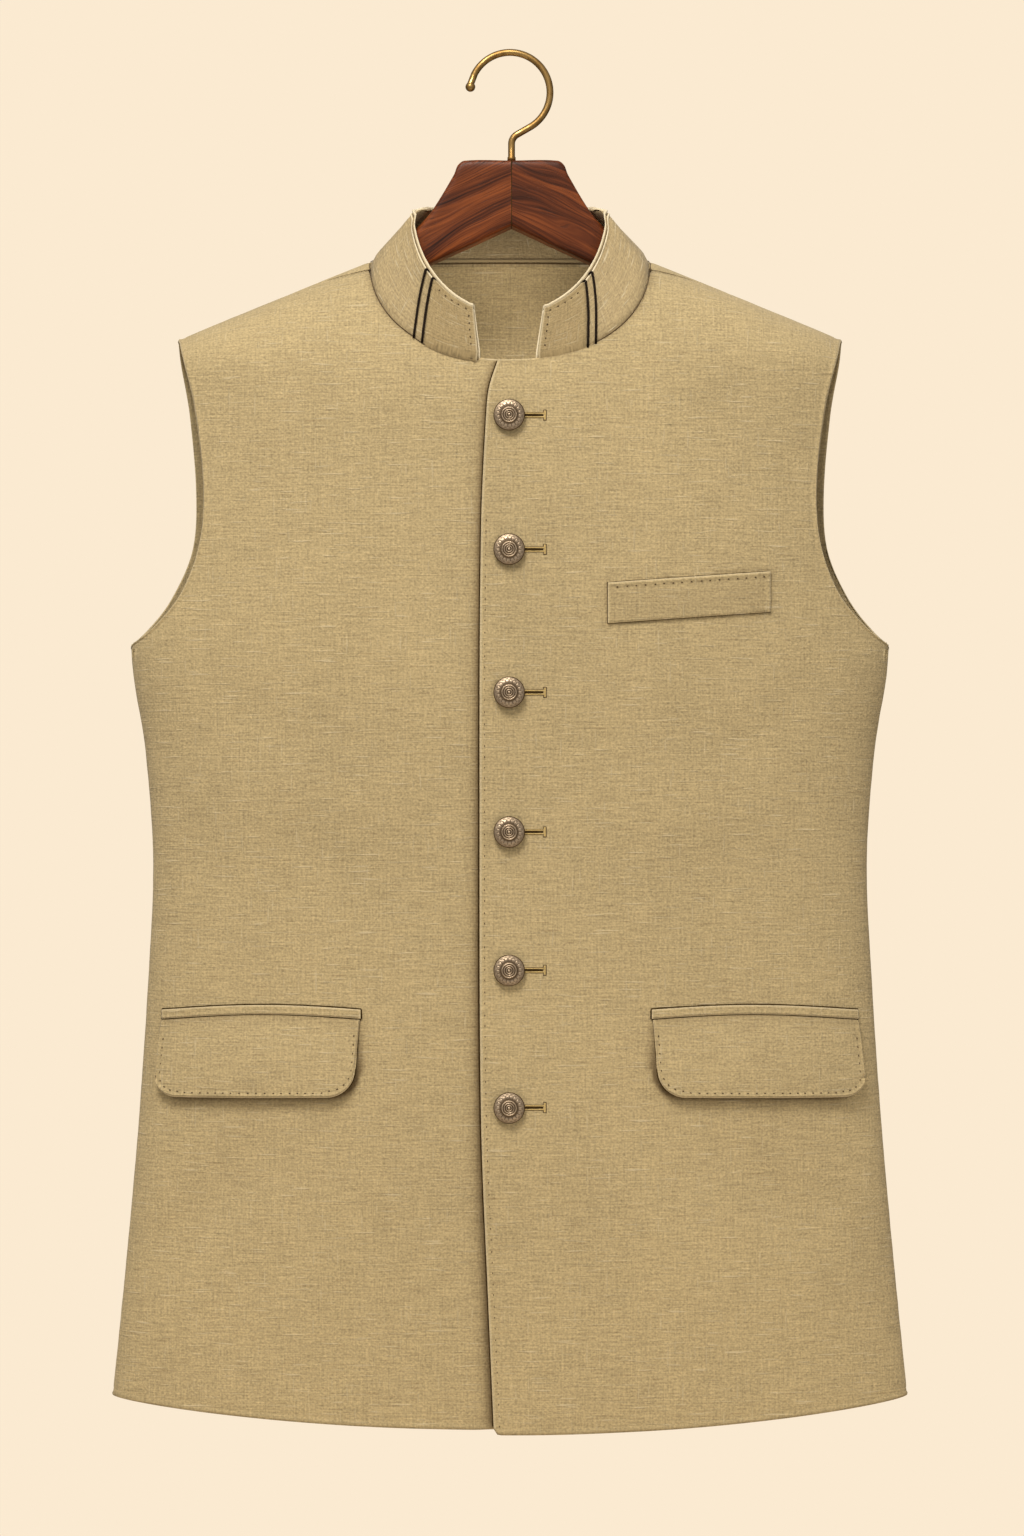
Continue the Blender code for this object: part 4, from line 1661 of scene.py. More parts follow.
    def skin(self, x: float, z: float, turn: float = math.pi) -> Vector:
        """A point of the inner face; a turn under 0 has crossed the ridge.

        Args:
            x: Where across.
            z: Where up.
            turn: Less than 0 past the ridge.

        Returns:
            The point.
        """
        face = self.face if turn >= 0 else Face(-self.face.value)
        point = self.form.point(self.side.value * x, z, face, self.face.value)
        if self.face is Face.FRONT:
            push = 1 - eased((x - self.overlap_full) / (self.overlap_end - self.overlap_full))
            point.y -= self.overlap_push * push * (1 if self.over else -1)
            if not self.over:
                fall = self.hollow_depth * self._parted(z) ** self.hollow_power
                point.y += fall * bell(self._past_edge(x, z) / self.hollow_spread)
        return point

    def depth(self, u: float, v: float) -> float:
        """How far a place of the outer skin lies in painted shade, from 0 to 1 and over 1 at the hem.

        Args:
            u: The column.
            v: The row.

        Returns:
            The shade's depth.
        """
        x, z, _ = self.spot(u, v)
        at_hem, reach = self.hem_shade
        deep = at_hem * bell((2 - v) * (self.underarm - self.side_hem) / reach)
        if self.face is Face.BACK:
            return deep
        if self.shade:
            deep = max(deep, self.shade(self.side.value * x, z))
        if not self.over:
            down = self._parted(z)
            near = math.exp(-self._past_edge(x, z) / mix(*self.edge_shade_reach, down))
            deep = max(deep, mix(*self.edge_shade, down) * near)
        return deep

    def _parted(self, z: float) -> float:
        """How far the two fronts part at a height, from 0 near the neck to 1 near the hem."""
        return held((self.hollow_start - z) / self.hollow_run)

    def _past_edge(self, x: float, z: float) -> float:
        """How far a place of the under front lies past the over front's edge."""
        return max(0.0, x + self.edge_curve(z))

    def inner(self, u: float, v: float) -> Vector:
        """A point of the inner face at a place on the panel."""
        return self.skin(*self.spot(u, v))

    def flat(self, u: float, v: float) -> tuple[float, float]:
        """Where that point lies on the cloth laid flat."""
        x, z, turn = self.spot(u, v)
        across, up = self.form.flat(self.side.value * x, z, self.face)
        return across, up if turn >= 0 else 2 * self.form.flat(x, self.form.ridge(x), self.face)[1] - up

    def rolled(self, border: Border, u: float, v: float) -> float:
        """1 where a border is a turned edge and 0 where it is a seam.

        Args:
            border: The border.
            u: The column.
            v: The row.

        Returns:
            1, 0, or a share where one passes into the other.
        """
        if border is Border.BOTTOM:
            return 1.0
        if border is Border.END:
            start, run = self.arm_rolled
            return 1 - eased((v - start) / run)
        if self.face is Face.BACK:
            return 0.0
        if border is Border.START:
            return 1.0
        return 1 - eased((abs(self.spot(u, v)[0]) - self.free_neck) / self.free_neck_fade)

    def sheet(self) -> ClothSheet:
        """The panel as a sheet.

        Returns:
            The sheet.
        """
        rows = spread(0.0, 1.0, self.arm_rows)
        for k in range(1, self.hem_rows + 1):
            slowing = math.sin(math.pi / 2 * k / self.hem_rows)
            rows.append(1 + mix(k / self.hem_rows, slowing, self.hem_crowding))
        columns = graded(*self.columns)
        if self.face is Face.FRONT:
            rows = refined(rows, *self.fine_rows)
            for part in self.fine_columns:
                columns = refined(columns, *part)
        return ClothSheet(
            name=f"cloth_{self.side.word}_{self.face.name.lower()}",
            inner=self.inner,
            flat=self.flat,
            columns=columns,
            rows=rows,
            wall=self.form.wall,
            rolled=self.rolled,
            shade=self.depth,
        )


class Cut(NamedTuple):
    """The cloth that a sheet was cut from: the box round it laid flat, and its area."""

    width: float
    length: float
    area: float | None = None


@dataclass(frozen=True)
class Body:
    """The two fronts and the two backs."""

    form: BodyForm
    linen: Material
    shade: Callable[[float, float], float]
    cuts: tuple[tuple[Face, Cut], ...] = (
        (Face.FRONT, Cut(0.300, 0.800, 0.185)),
        (Face.BACK, Cut(0.275, 0.800, 0.180)),
    )
    shoulder_line: tuple[float, float] = (0.002, 0.130)
    shoulder_inside: float = 0.004
    shoulder_radius: float = 0.00024
    shoulder_end: float = 0.4
    shoulder_steps: int = 30
    edge_line: tuple[float, float] = (-0.2040, -0.8835)
    edge_gap: float = 0.0003
    edge_radius: float = 0.00032
    edge_growth: float = 4.0
    edge_steps: int = 160
    edge_sewing: Sewing = Sewing(length=0.0011, radius=0.00028, arch=-0.00012)
    edge_stitch: float = 0.0032
    edge_stitch_top: float = -0.3000
    edge_pitch: float = 0.0072
    edge_seed: int = 9

    def build(self) -> dict[str, Piece]:
        """Makes the four panels.

        Returns:
            Each panel's piece, by its node's name.
        """
        made = {}
        for face in Face:
            for side in Side:
                node = f"{side.word}_{face.name.lower()}"
                mesh = Panel(self.form, face, side, shade=self.shade).sheet().mesh()
                made[node] = add_piece(mesh, self.linen, "cloth", node)
        return made

    def seams(self, needle: Material, shade: Material) -> dict[str, list[Piece]]:
        """Makes the shoulder seams' lines of painted shade, and the front edge's painted shadow line and its
        stitches.

        Args:
            needle: The stitches' material.
            shade: The material of the painted shadow line.

        Returns:
            The pieces on each panel, by its node.
        """
        made = {}
        for side in Side:
            panel = Panel(self.form, Face.FRONT, side)
            start, end = (panel.front_neck_share + share for share in self.shoulder_line)
            path = [
                panel.inner(u, 0.0) + normal_of(panel.inner, u, self.shoulder_inside) * self.form.wall
                for u in spread(start, end, self.shoulder_steps)
            ]
            name = f"seam_shoulder_{side.word}"
            mesh = sunk_seam(name, [path], self.shoulder_radius, self.shoulder_end)
            made[f"{side.word}_front"] = [add_piece(mesh, needle, "cloth")]
        under = Panel(self.form, Face.FRONT, Side.RIGHT)
        over = Panel(self.form, Face.FRONT, Side.LEFT)
        heights = spread(*self.edge_line, self.edge_steps)
        # Painted shadow: a dark line on the under front just past the over front's edge, wider towards the
        # hem.
        path = [self._on(under, self.edge_gap - over.edge_curve(z), z) for z in heights]
        mesh = sunk_seam("seam_front_edge", [path], self.edge_radius, self.edge_growth)
        made["right_front"].append(add_piece(mesh, shade, "cloth"))
        row = [(over.edge_curve(z) + self.edge_stitch, z) for z in heights if z < self.edge_stitch_top]
        stitches = self.edge_sewing.row(over.skin, row, self.edge_pitch, self.form.wall, seed=self.edge_seed)
        mesh = self.edge_sewing.mesh("stitches_front_edge", stitches)
        made["left_front"].append(add_piece(mesh, needle, "cloth"))
        return made

    def _on(self, panel: Panel, x: float, z: float) -> Vector:
        """A point of a panel's outer skin."""
        return panel.skin(x, z) + normal_of(panel.skin, x, z) * self.form.wall

    def declare(self, panels: dict[str, Piece], trims: dict[str, list[Piece]]) -> None:
        """Goes through what each panel was cut from and the pieces on it, but records nothing.

        Args:
            panels: Each panel's piece, by its node's name; not used.
            trims: The pieces on each panel, by its node.
        """
        for face, cut in self.cuts:
            for side in Side:
                node = f"{side.word}_{face.name.lower()}"
                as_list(trims.get(node, []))


class Roll(NamedTuple):
    """A roll or a groove along the collar's rim: its place, half width and height."""

    away: float
    spread: float
    height: float


class Seat(NamedTuple):
    """How far the collar's foot is drawn in at a turn."""

    turn: float
    x: float
    y: float
    z: float


class Slant(NamedTuple):
    """A line up the band; base and top are shares of the way to the band's end."""

    base: float
    top: float


class NeckLine(NamedTuple):
    """A line round the inside of the neck: where it lies on the band, and half its width."""

    rise: float
    radius: float


class Trims(NamedTuple):
    """Where the two pipings of a side lie, and where its facing starts."""

    outer: Slant
    inner: Slant
    facing: Slant


@dataclass(frozen=True)
class Collar:
    """The standing band with its front facings and its pipings."""

    form: BodyForm
    linen: Material
    facing: Material
    cord: Material
    stitch_thread: Material
    shade: Material
    wall: float = 0.0028
    tab_wall: float = 0.0010
    gap: float = 0.0003
    base_end: float = math.radians(170.2)
    top_end: float = math.radians(159.6)
    shift: float = math.radians(0.8)
    rim_half_width: tuple[float, float] = (0.0627, 0.0528)
    rim_narrowing: tuple[float, float] = (-0.15, 0.20)
    rim_centre_y: float = -0.0030
    rim_half_depth: float = 0.0385
    rim_side: float = -0.1010
    rim_dip_front: float = 0.0715
    rim_rise_back: float = 0.0060
    rim_bend: float = 0.15
    belly: float = 0.0003
    inset: float = 0.0022
    clearance: float = 0.0009
    piping_radius: float = 0.00080
    piping_foot: float = -0.005
    piping_steps: int = 100
    piping_sides: int = 12
    piping_normal: float = 0.9
    twist: float = 1900
    ply: tuple[float, float] = (0.93, 0.08)
    thin_end: float = 0.45
    straight: tuple[float, float] = (0.24, 0.34)
    curl_start: float = 0.865
    curl_height: float = 0.050
    curl_width: float = 0.014
    curl_turn: float = math.radians(115)
    curl_steps: int = 16
    trims: tuple[Trims, Trims] = (
        Trims(Slant(0.838, 0.768), Slant(0.862, 0.808), Slant(0.868, 0.815)),
        Trims(Slant(0.815, 0.768), Slant(0.842, 0.808), Slant(0.849, 0.815)),
    )
    tab_end: float = 0.993
    tab_foot: float = -0.040
    tab_top: float = 0.922
    tab_width: float = 0.036
    tab_columns: Spacing = Spacing(26, 0.55)
    tab_rows: Spacing = Spacing(30, 0.60)
    tab_pressing: Pressing = Pressing(swell=0.00030, trough=0.00030)
    rim_stitches: tuple[float, float] = (0.12, 0.86)
    rim_inset: float = 0.10
    front_stitches: tuple[float, float] = (0.16, 0.94)
    front_inset: float = 0.89
    row_steps: int = 30
    tab_sewing: Sewing = Sewing(length=0.0013, radius=0.00048, arch=-0.00013)
    tab_pitch: float = 0.0054
    half_length: float = 0.215
    height: float = 0.047
    foot: float = 1.045
    seat: float = 0.0003
    seat_reach: float = 0.16
    seat_end: float = 0.999
    seat_steps: int = 20
    sink: float = 0.06
    seam_drop: tuple[float, float] = (0.0003, 0.0014)
    seam_end: float = 0.997
    seam_steps: int = 240
    foot_slope: float = 0.1
    foot_seam_radius: float = 0.00028
    roll_seam: float = 0.0033
    roll_seam_sunk: float = -0.0005
    roll_seam_radius: float = 0.00026
    inner_end: float = 0.62
    inner_sunk: float = 0.0002
    inner_steps: int = 96
    inner_ridge: NeckLine = NeckLine(-0.006, 0.0012)
    inner_seam: NeckLine = NeckLine(-0.034, 0.0004)
    columns: Spacing = Spacing(150, 0.70)
    rim_part: float = 0.14
    rim_rows: int = 22
    foot_rows: int = 16
    band_cut: Cut = Cut(0.430, 0.050, 0.0160)
    tab_cut: Cut = Cut(0.035, 0.044, 0.0013)
    # The rolls' heights also paint a highlight on each crest and painted shade in each groove.
    rolls: tuple[Roll, ...] = (
        Roll(0.0014, 0.0013, 0.0009),
        Roll(0.0033, 0.0005, -0.0007),
        Roll(0.0048, 0.0011, 0.0009),
        Roll(0.0068, 0.0008, -0.0004),
    )

    @cached_property
    def seats(self) -> tuple[Curve, Curve, Curve]:
        """How far the band's foot is drawn onto the body along X, Y and Z, by turn."""
        rows = []
        for k in range(-self.seat_steps, self.seat_steps + 1):
            turn = k / self.seat_steps * self.seat_end
            base, up = self.neck_seam(turn)
            skin = self.solid(turn, 0.0) + normal_of(self.solid, turn, 0.0) * self.wall
            rows.append(Seat(turn, *(up * max((skin - base).dot(up) - self.seat, 0.0))))
        return tuple(Curve.of(rows, column) for column in Seat._fields[1:])

    def neck_seam(self, turn: float) -> tuple[Vector, Vector]:
        """Where the neck seam lies on the body's outer skin, and the skin's normal there."""
        spot = self.form.neckline(turn * self.base_end + self.shift)
        base = self.form.outer(*spot)
        return base, (self.form.outer(*spot, STEP) - base).normalized()

    def inner(self, turn: float, rise: float) -> Vector:
        """A point of the inner face, drawn in at its foot and sinking into the body below it.

        Args:
            turn: -1 at the right end and 1 at the left.
            rise: 0 at the neck and 1 at the rim.

        Returns:
            The point.
        """
        seat = Vector([curve(turn) for curve in self.seats])
        point = self.solid(turn, rise) - seat * (1 - eased(rise / self.seat_reach))
        if rise < 0:
            point += self.neck_seam(turn)[1] * self.sink * rise
        return point

    def solid(self, turn: float, rise: float) -> Vector:
        """A point of the inner face, before its foot is drawn in.

        Args:
            turn: -1 at the right end and 1 at the left.
            rise: 0 at the neck and 1 at the rim.

        Returns:
            The point.
        """
        x, z, face = self.form.neckline(turn * self.base_end + self.shift)
        base = self.form.outer(x, z, face)
        outward = Vector((base.x, base.y, 0.0)).normalized()
        base -= outward * self.inset
        base.z += self.clearance
        angle = turn * self.top_end + self.shift
        back_share = eased((math.cos(angle) / self.rim_bend + 1) / 2)
        height = mix(self.rim_dip_front, self.rim_rise_back, back_share)
        first, last = self.rim_narrowing
        half_width = mix(*self.rim_half_width, eased((math.cos(angle) - first) / (last - first)))
        rim = Vector((
            half_width * math.sin(angle),
            self.rim_centre_y + self.rim_half_depth * math.cos(angle),
            self.rim_side + height * math.cos(angle),
        ))
        return base.lerp(rim, rise) + outward * self.belly * 4 * rise * (1 - rise)

    def skin(self, turn: float, rise: float, lift: float = 0.0) -> Vector:
        """A point at a height above the band's outer skin."""
        return self.inner(turn, rise) + normal_of(self.inner, turn, rise) * (self.wall + lift)

    def build(self) -> tuple[Piece, list[Piece], list[Piece]]:
        """Makes the band, its facings and its pipings.

        Returns:
            The band, its facings, and the small pieces on them.
        """
        rows = [self.rim_part * k / self.rim_rows for k in range(self.rim_rows)]
        band = ClothSheet(
            name="cloth_collar_band",
            inner=lambda u, v: self.inner(u, 1 - v),
            flat=lambda u, v: (u * self.half_length + BAND_APART, -v * self.height),
            columns=[2 * t - 1 for t in graded(*self.columns)],
            rows=rows + spread(self.rim_part, self.foot, self.foot_rows),
            wall=self.wall,
            rolled=all_rolled(but=Border.BOTTOM),
            rims=(Border.TOP, Border.START, Border.END),
            rolls=self.rolls,
        )
        piece = add_piece(band.mesh(), self.linen, "cloth", "collar_band")
        turns = spread(-self.seam_end, self.seam_end, self.seam_steps)
        # Painted shade: a thin dark line where the band goes under the body, and one in the groove under the
        # rim roll.
        foot = sunk_seam("neck_seam", [[self._crevice(turn) for turn in turns]], self.foot_seam_radius)
        groove = sunk_seam("rim_seam", [[self._below_rim(turn) for turn in turns]], self.roll_seam_radius)
        trims = [add_piece(mesh, self.stitch_thread, "cloth") for mesh in (foot, groove)]
        trims += self._inner_neck()
        tabs = []
        for side in Side:
            tab = self._tab(side)
            node = f"collar_tab_{side.word}"
            tabs.append(add_piece(tab.mesh(), self.facing, "cloth", node))
            stitches = []
            for number, path in enumerate(self._stitch_rows(), 1):
                stitches += self.tab_sewing.row(tab.inner, path, self.tab_pitch, self.tab_wall, seed=number)
            mesh = self.tab_sewing.mesh(f"stitches_{node}", stitches)
            trims.append(add_piece(mesh, self.stitch_thread, "cloth"))
            for word, slant in zip(Trims._fields[:2], self._trims(side)):
                node = f"collar_piping_{side.word}_{word}"
                mesh = self._piping(f"cord_{side.word}_{word}", side, slant)
                trims.append(add_piece(mesh, self.cord, "piping", node))
        return piece, tabs, trims

    def declare(self, band: Piece, tabs: list[Piece], trims: list[Piece]) -> None:
        """Goes through the facings and the pieces on them, but records nothing.

        Args:
            band: The band; not used.
            tabs: Its facings.
            trims: The small pieces on them.
        """
        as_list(trims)
        for tab in tabs:
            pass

    def _trims(self, side: Side) -> Trims:
        """The trims of a side."""
        return self.trims[0 if side is Side.LEFT else 1]

    def _crevice(self, turn: float) -> Vector:
        """A point of the line where the band, or a facing on it, goes under the body.

        Args:
            turn: -1 at the right end and 1 at the left.

        Returns:
            The point.
        """
        base, up = self.neck_seam(turn)
        down = self.solid(turn, 0.0) - self.solid(turn, self.foot_slope)
        down = (down - up * down.dot(up)).normalized()
        outer, _, facing = self._trims(Side.LEFT if turn > 0 else Side.RIGHT)
        on_tab = eased((abs(turn) - outer.base) / (facing.base - outer.base))
        return base + down * mix(*self.seam_drop, on_tab)

    def _below_rim(self, turn: float) -> Vector:
        """A point of the groove under the rim's roll."""
        height = (self.inner(turn, 1.0) - self.inner(turn, 0.0)).length
        return self.skin(turn, 1 - self.roll_seam / height, self.roll_seam_sunk)

    def _inner_neck(self) -> list[Piece]:
        """The ridge of the neck seam inside the back, with a thin dark line of painted shade under it.

        Returns:
            The ridge and its line of painted shade.
        """
        made = []
        for name, (rise, radius), finish in (
            ("neck_ridge", self.inner_ridge, self.linen),
            ("neck_ridge_seam", self.inner_seam, self.stitch_thread),
        ):
            path = [
                self.inner(turn, rise) - normal_of(self.inner, turn, rise) * self.inner_sunk
                for turn in spread(-self.inner_end, self.inner_end, self.inner_steps)
            ]
            made.append(add_piece(sunk_seam(name, [path], radius), finish, "cloth"))
        return made

    def _tab(self, side: Side) -> ClothSheet:
        """The facing that ends the band in front of the pipings.

        Args:
            side: The wearer's side.

        Returns:
            The sheet.
        """

        def inner(u: float, v: float) -> Vector:
            """A point of the facing's inner face."""
            rise = mix(self.tab_top, self.tab_foot, v)
            start = mix(*self._trims(side).facing, rise)
            return self.skin(side.value * mix(start, self.tab_end, u), rise, self.gap)

        return ClothSheet(
            name=f"cloth_collar_tab_{side.word}",
            inner=inner,
            flat=lambda u, v: (side.value * (u * self.tab_width + TABS_APART), -v * self.height),
            columns=graded(*self.tab_columns),
            rows=graded(*self.tab_rows),
            wall=self.tab_wall,
            rolled=all_rolled(but=Border.START),
            pressing=self.tab_pressing,
        )

    def _stitch_rows(self) -> list[list[tuple[float, float]]]:
        """The two stitched rows of a facing: along its rim and down its front edge."""
        rim = [(u, self.rim_inset) for u in spread(*self.rim_stitches, self.row_steps)]
        return [rim, [(self.front_inset, v) for v in spread(*self.front_stitches, self.row_steps)]]

    def _piping(self, name: str, side: Side, slant: Slant) -> Mesh:
        """A twisted cord that climbs the band and curls forwards under its rim roll.

        Args:
            name: The mesh's name.
            side: The wearer's side.
            slant: The line that it climbs.

        Returns:
            The mesh.
        """
        path, steps, curl = [], self.piping_steps, self.curl_steps
        lift = self.gap + self.piping_radius
        low, high = (self.skin(side.value * mix(*slant, rise), rise, lift) for rise in self.straight)
        for k in range(steps + 1):
            rise = mix(self.piping_foot, self.curl_start, k / steps)
            turn = side.value * mix(*slant, rise)
            place = self.skin(turn, rise, lift)
            if rise < self.straight[0]:
                for _ in range(3):
                    line = mix(low.x, high.x, (place.z - low.z) / (high.z - low.z))
                    slope = (self.skin(turn + STEP, rise, lift).x - place.x) / STEP
                    turn += (line - place.x) / slope
                    place = self.skin(turn, rise, lift)
            path.append(place)
        for k in range(1, curl + 1):
            angle = self.curl_turn * k / curl
            rise = self.curl_start + self.curl_height * math.sin(angle)
            turn = mix(*slant, rise) + self.curl_width * (1 - math.cos(angle))
            path.append(self.skin(side.value * turn, rise, lift))
        normal = normal_of(self.inner, side.value * slant.top, self.piping_normal)

        def twisted(step: int, run: float, angle: float) -> float:
            """The cord's radius, which its plies raise and its end thins."""
            core, raised = self.ply
            taper = mix(1.0, self.thin_end, held((step - steps) / curl) ** 2)
            return self.piping_radius * (core + raised * abs(math.cos(angle - run * self.twist))) * taper

        return tube_mesh(name, path, twisted, self.piping_sides, normal)


class Corner(NamedTuple):
    """A corner of a pocket on the front."""

    x: float
    z: float


@dataclass(frozen=True)
class Pockets:
    """The breast welt, and a jet and a flap for each lower pocket."""

    form: BodyForm
    linen: Material
    stitch_thread: Material
    shade: Material
    gap: float = 0.0004
    seam: float = 0.0003
    seam_lift: float = 0.0002
    welt_top: tuple[Corner, Corner] = (Corner(0.0620, -0.3448), Corner(0.1658, -0.3371))
    welt_depth: float = 0.0260
    welt_wall: float = 0.0016
    welt_foot_rolled: float = 0.35
    # Painted shade laid evenly over the whole welt, which darkens it.
    welt_tone: float = 0.20
    welt_columns: Spacing = Spacing(44, 0.60)
    welt_rows: Spacing = Spacing(18, 0.60)
    welt_row: float = 0.125
    welt_stitches: tuple[float, float, int] = (0.03, 0.97, 40)
    welt_pitch: float = 0.0060
    welt_cut: Cut = Cut(0.106, 0.028)
    inner_left: float = 0.0903
    inner_right: float = 0.0951
    outer_end: float = 0.2233
    top: float = -0.6170
    arch: float = 0.0033
    droop: float = 0.0018
    jet_depth: float = 0.0060
    jet_wall: float = 0.0012
    jet_columns: Spacing = Spacing(48, 0.55)
    jet_rows: Spacing = Spacing(8, 0.40)
    jet_pressing: Pressing = Pressing(swell=0.00018, trough=0.0, pucker=0.00015)
    mouth_drop: float = 1.03
    mouth_lift: float = 0.0004
    mouth_radius: float = 0.00090
    flap_inset: float = 0.0006
    flap_depth: float = 0.0495
    flap_sag: float = 0.0032
    flap_wall: float = 0.0020
    flap_cut: Cut = Cut(0.134, 0.052)
    flap_columns: Spacing = Spacing(60, 0.86)
    flap_rows: Spacing = Spacing(30, 0.62)
    flap_line: float = 0.00050
    flap_edge: tuple[float, float, float] = (0.004, 0.996, 0.995)
    flap_ends: tuple[float, float, int] = (0.02, 0.99, 24)
    flap_edge_steps: int = 72
    flap_seed: int = 5
    line_steps: int = 48
    end_steps: int = 8
    outer_radius: float = 0.0136
    inner_radius: float = 0.0185
    taper: float = 0.0022
    flare: float = 0.0030
    stand_off: float = 0.0040
    stand_power: float = 1.5
    puff: float = 0.0020
    shade_reach: float = 0.0032
    shade_fall: float = 3.0
    flap_shade: float = 0.80
    flap_shade_top: float = 0.3
    # Painted shade on the flap's top, just under the jet.
    flap_tone: float = 0.42
    flap_tone_reach: float = 0.0048
    welt_shade: float = 0.40
    welt_shade_reach: float = 0.0018
    welt_margin: tuple[float, float] = (0.01, 0.02)
    sewing: Sewing = Sewing(length=0.0012, radius=0.00042, arch=-0.00014)
    inset: float = 0.0030
    pitch: float = 0.0053
    row_start: float = 0.008
    row_steps: int = 30
    corner_steps: int = 12

    def build(self) -> tuple[dict[str, list[Piece]], list[Piece]]:
        """Makes the pockets.

        Returns:
            The pieces on each front, by its node, and those of them that are sheets:
            the welt, then the flaps.
        """
        welt = self._welt()
        sheets = [add_piece(welt.mesh(), self.linen, "cloth", "breast_welt")]
        row = [(u, self.welt_row) for u in spread(*self.welt_stitches)]
        stitches = self.sewing.row(welt.inner, row, self.welt_pitch, self.welt_wall)
        mesh = self.sewing.mesh("stitches_breast_welt", stitches)
        trims = {"left_front": [add_piece(mesh, self.stitch_thread, "cloth")], "right_front": []}
        # Painted shade: a thin dark line round the welt, where it sinks into the front.
        mesh = sunk_seam("seam_breast_welt", [self._outline(self._welt_spot, True)])
        trims["left_front"].append(add_piece(mesh, self.shade, "cloth"))
        for side in Side:
            jet, flap = self._jet(side), self._flap(side)
            pieces = trims[f"{side.word}_front"]
            pieces.append(add_piece(jet.mesh(), self.linen, "cloth", f"pocket_jet_{side.word}"))
            sheets.append(add_piece(flap.mesh(), self.linen, "cloth", f"pocket_flap_{side.word}"))
            row = self._flap_row(side)
            stitches = self.sewing.row(flap.inner, row, self.pitch, self.flap_wall, seed=self.flap_seed)
            mesh = self.sewing.mesh(f"stitches_pocket_flap_{side.word}", stitches)
            pieces.append(add_piece(mesh, self.stitch_thread, "cloth"))
            # Painted shade: thin dark lines round the jet's top and ends, and along the pocket's mouth under
            # it.
            spot = self._jet_spot(side)
            places = [spot(u, self.mouth_drop) for u in spread(0.0, 1.0, self.line_steps)]
            mouth = [self._front(*place, self.mouth_lift) for place in places]
            lines = [self._outline(spot, False), mouth]
            mesh = sunk_seam(f"seam_pocket_{side.word}", lines, self.mouth_radius)
            pieces.append(add_piece(mesh, self.shade, "cloth"))
            # Painted shadow: a dark line under the flap's free edge.
            mesh = sunk_seam(f"shade_pocket_flap_{side.word}", [self._under_flap(flap)], self.flap_line)
            pieces.append(add_piece(mesh, self.shade, "cloth"))
        return trims, sheets

    def declare(self, sheets: list[Piece], panels: dict[str, Piece]) -> None:
        """Goes through the welt and the flaps, but records nothing.

        Args:
            sheets: The welt, then the flaps.
            panels: Each panel's piece, by its node's name; not used.
        """
        welt, *flaps = sheets
        for flap, side in zip(flaps, Side):
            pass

    def shade_at(self, x: float, z: float) -> float:
        """How deep in the pockets' and the collar's painted shade a place of the fronts lies.

        Args:
            x: Where across.
            z: Where up.

        Returns:
            From 0, in none, to 1.
        """
        side = Side.LEFT if x > 0 else Side.RIGHT
        inner, outer = self._ends(side)
        width = outer - inner
        share = held((abs(x) - inner) / width)
        top = self._pocket_top(share) - self.jet_depth
        beside = max(inner - abs(x), (abs(x) - outer) * self.shade_fall, 0.0)
        below = max(top - self._depth(share, width) - z, 0.0)
        above = max(z - top, 0.0) * self.shade_fall
        deep = self.flap_shade * mix(self.flap_shade_top, 1.0, held((top - z) / self.flap_depth))
        deep *= math.exp(-math.hypot(beside, below, above) / self.shade_reach)
        return max(deep, self._welt_shade(x, z), self.form.collar_shade(x, z))

    def _welt_shade(self, x: float, z: float) -> float:
        """How deep in the breast welt's painted shade a place of the left front lies.

        Args:
            x: Where across.
            z: Where up.

        Returns:
            From 0, in none, to 1.
        """
        (start, end), (beside, below) = self.welt_top, self.welt_margin
        if not start.x - beside < x < end.x + beside:
            return 0.0
        bottom = mix(start.z, end.z, held((x - start.x) / (end.x - start.x))) - self.welt_depth
        if not bottom - below < z < bottom + self.welt_depth:
            return 0.0
        reach = math.hypot(max(start.x - x, x - end.x, 0.0), max(bottom - z, 0.0))
        return self.welt_shade * math.exp(-reach / self.welt_shade_reach)

    def _outline(self, spot: Flat, closed: bool) -> list[Vector]:
        """A line along a piece's top and ends, and along its bottom too if it is closed.

        Args:
            spot: Gives x and z of a place on the piece.
            closed: Whether the bottom has a line too.

        Returns:
            The line.
        """
        loop = [(0.0, v) for v in spread(1.0, 0.0, self.end_steps)]
        loop += [(u, 0.0) for u in spread(0.0, 1.0, self.line_steps)[1:-1]]
        loop += [(1.0, v) for v in spread(0.0, 1.0, self.end_steps)]
        if closed:
            loop += [(u, 1.0) for u in spread(1.0, 0.0, self.line_steps)[1:]]
        return [self._front(*spot(u, v), self.seam_lift) for u, v in loop]

    def _under_flap(self, flap: ClothSheet) -> list[Vector]:
        """A line round a flap's free edge, on its under side.

        Args:
            flap: The flap.

        Returns:
            The line.
        """
        (start, end, bottom), (top, foot, steps) = self.flap_edge, self.flap_ends
        loop = [(start, v) for v in spread(top, foot, steps)]
        loop += [(u, bottom) for u in spread(start, end, self.flap_edge_steps)[1:-1]]
        loop += [(end, v) for v in spread(foot, top, steps)]
        return [flap.inner(u, v) for u, v in loop]

    def _front(self, x: float, z: float, lift: float) -> Vector:
        """A point at a height above the front."""
        return self.form.outer(x, z, Face.FRONT, lift)

    def _pocket_top(self, share: float) -> float:
        """Height of the jet's top at a share of its width."""
        return self.top + self.arch * math.sin(math.pi * share) - self.droop * share

    def _ends(self, side: Side, inset: float = 0.0) -> tuple[float, float]:
        """x of the inner and outer ends of a lower pocket."""
        inner = self.inner_left if side is Side.LEFT else self.inner_right
        return inner + inset, self.outer_end - inset

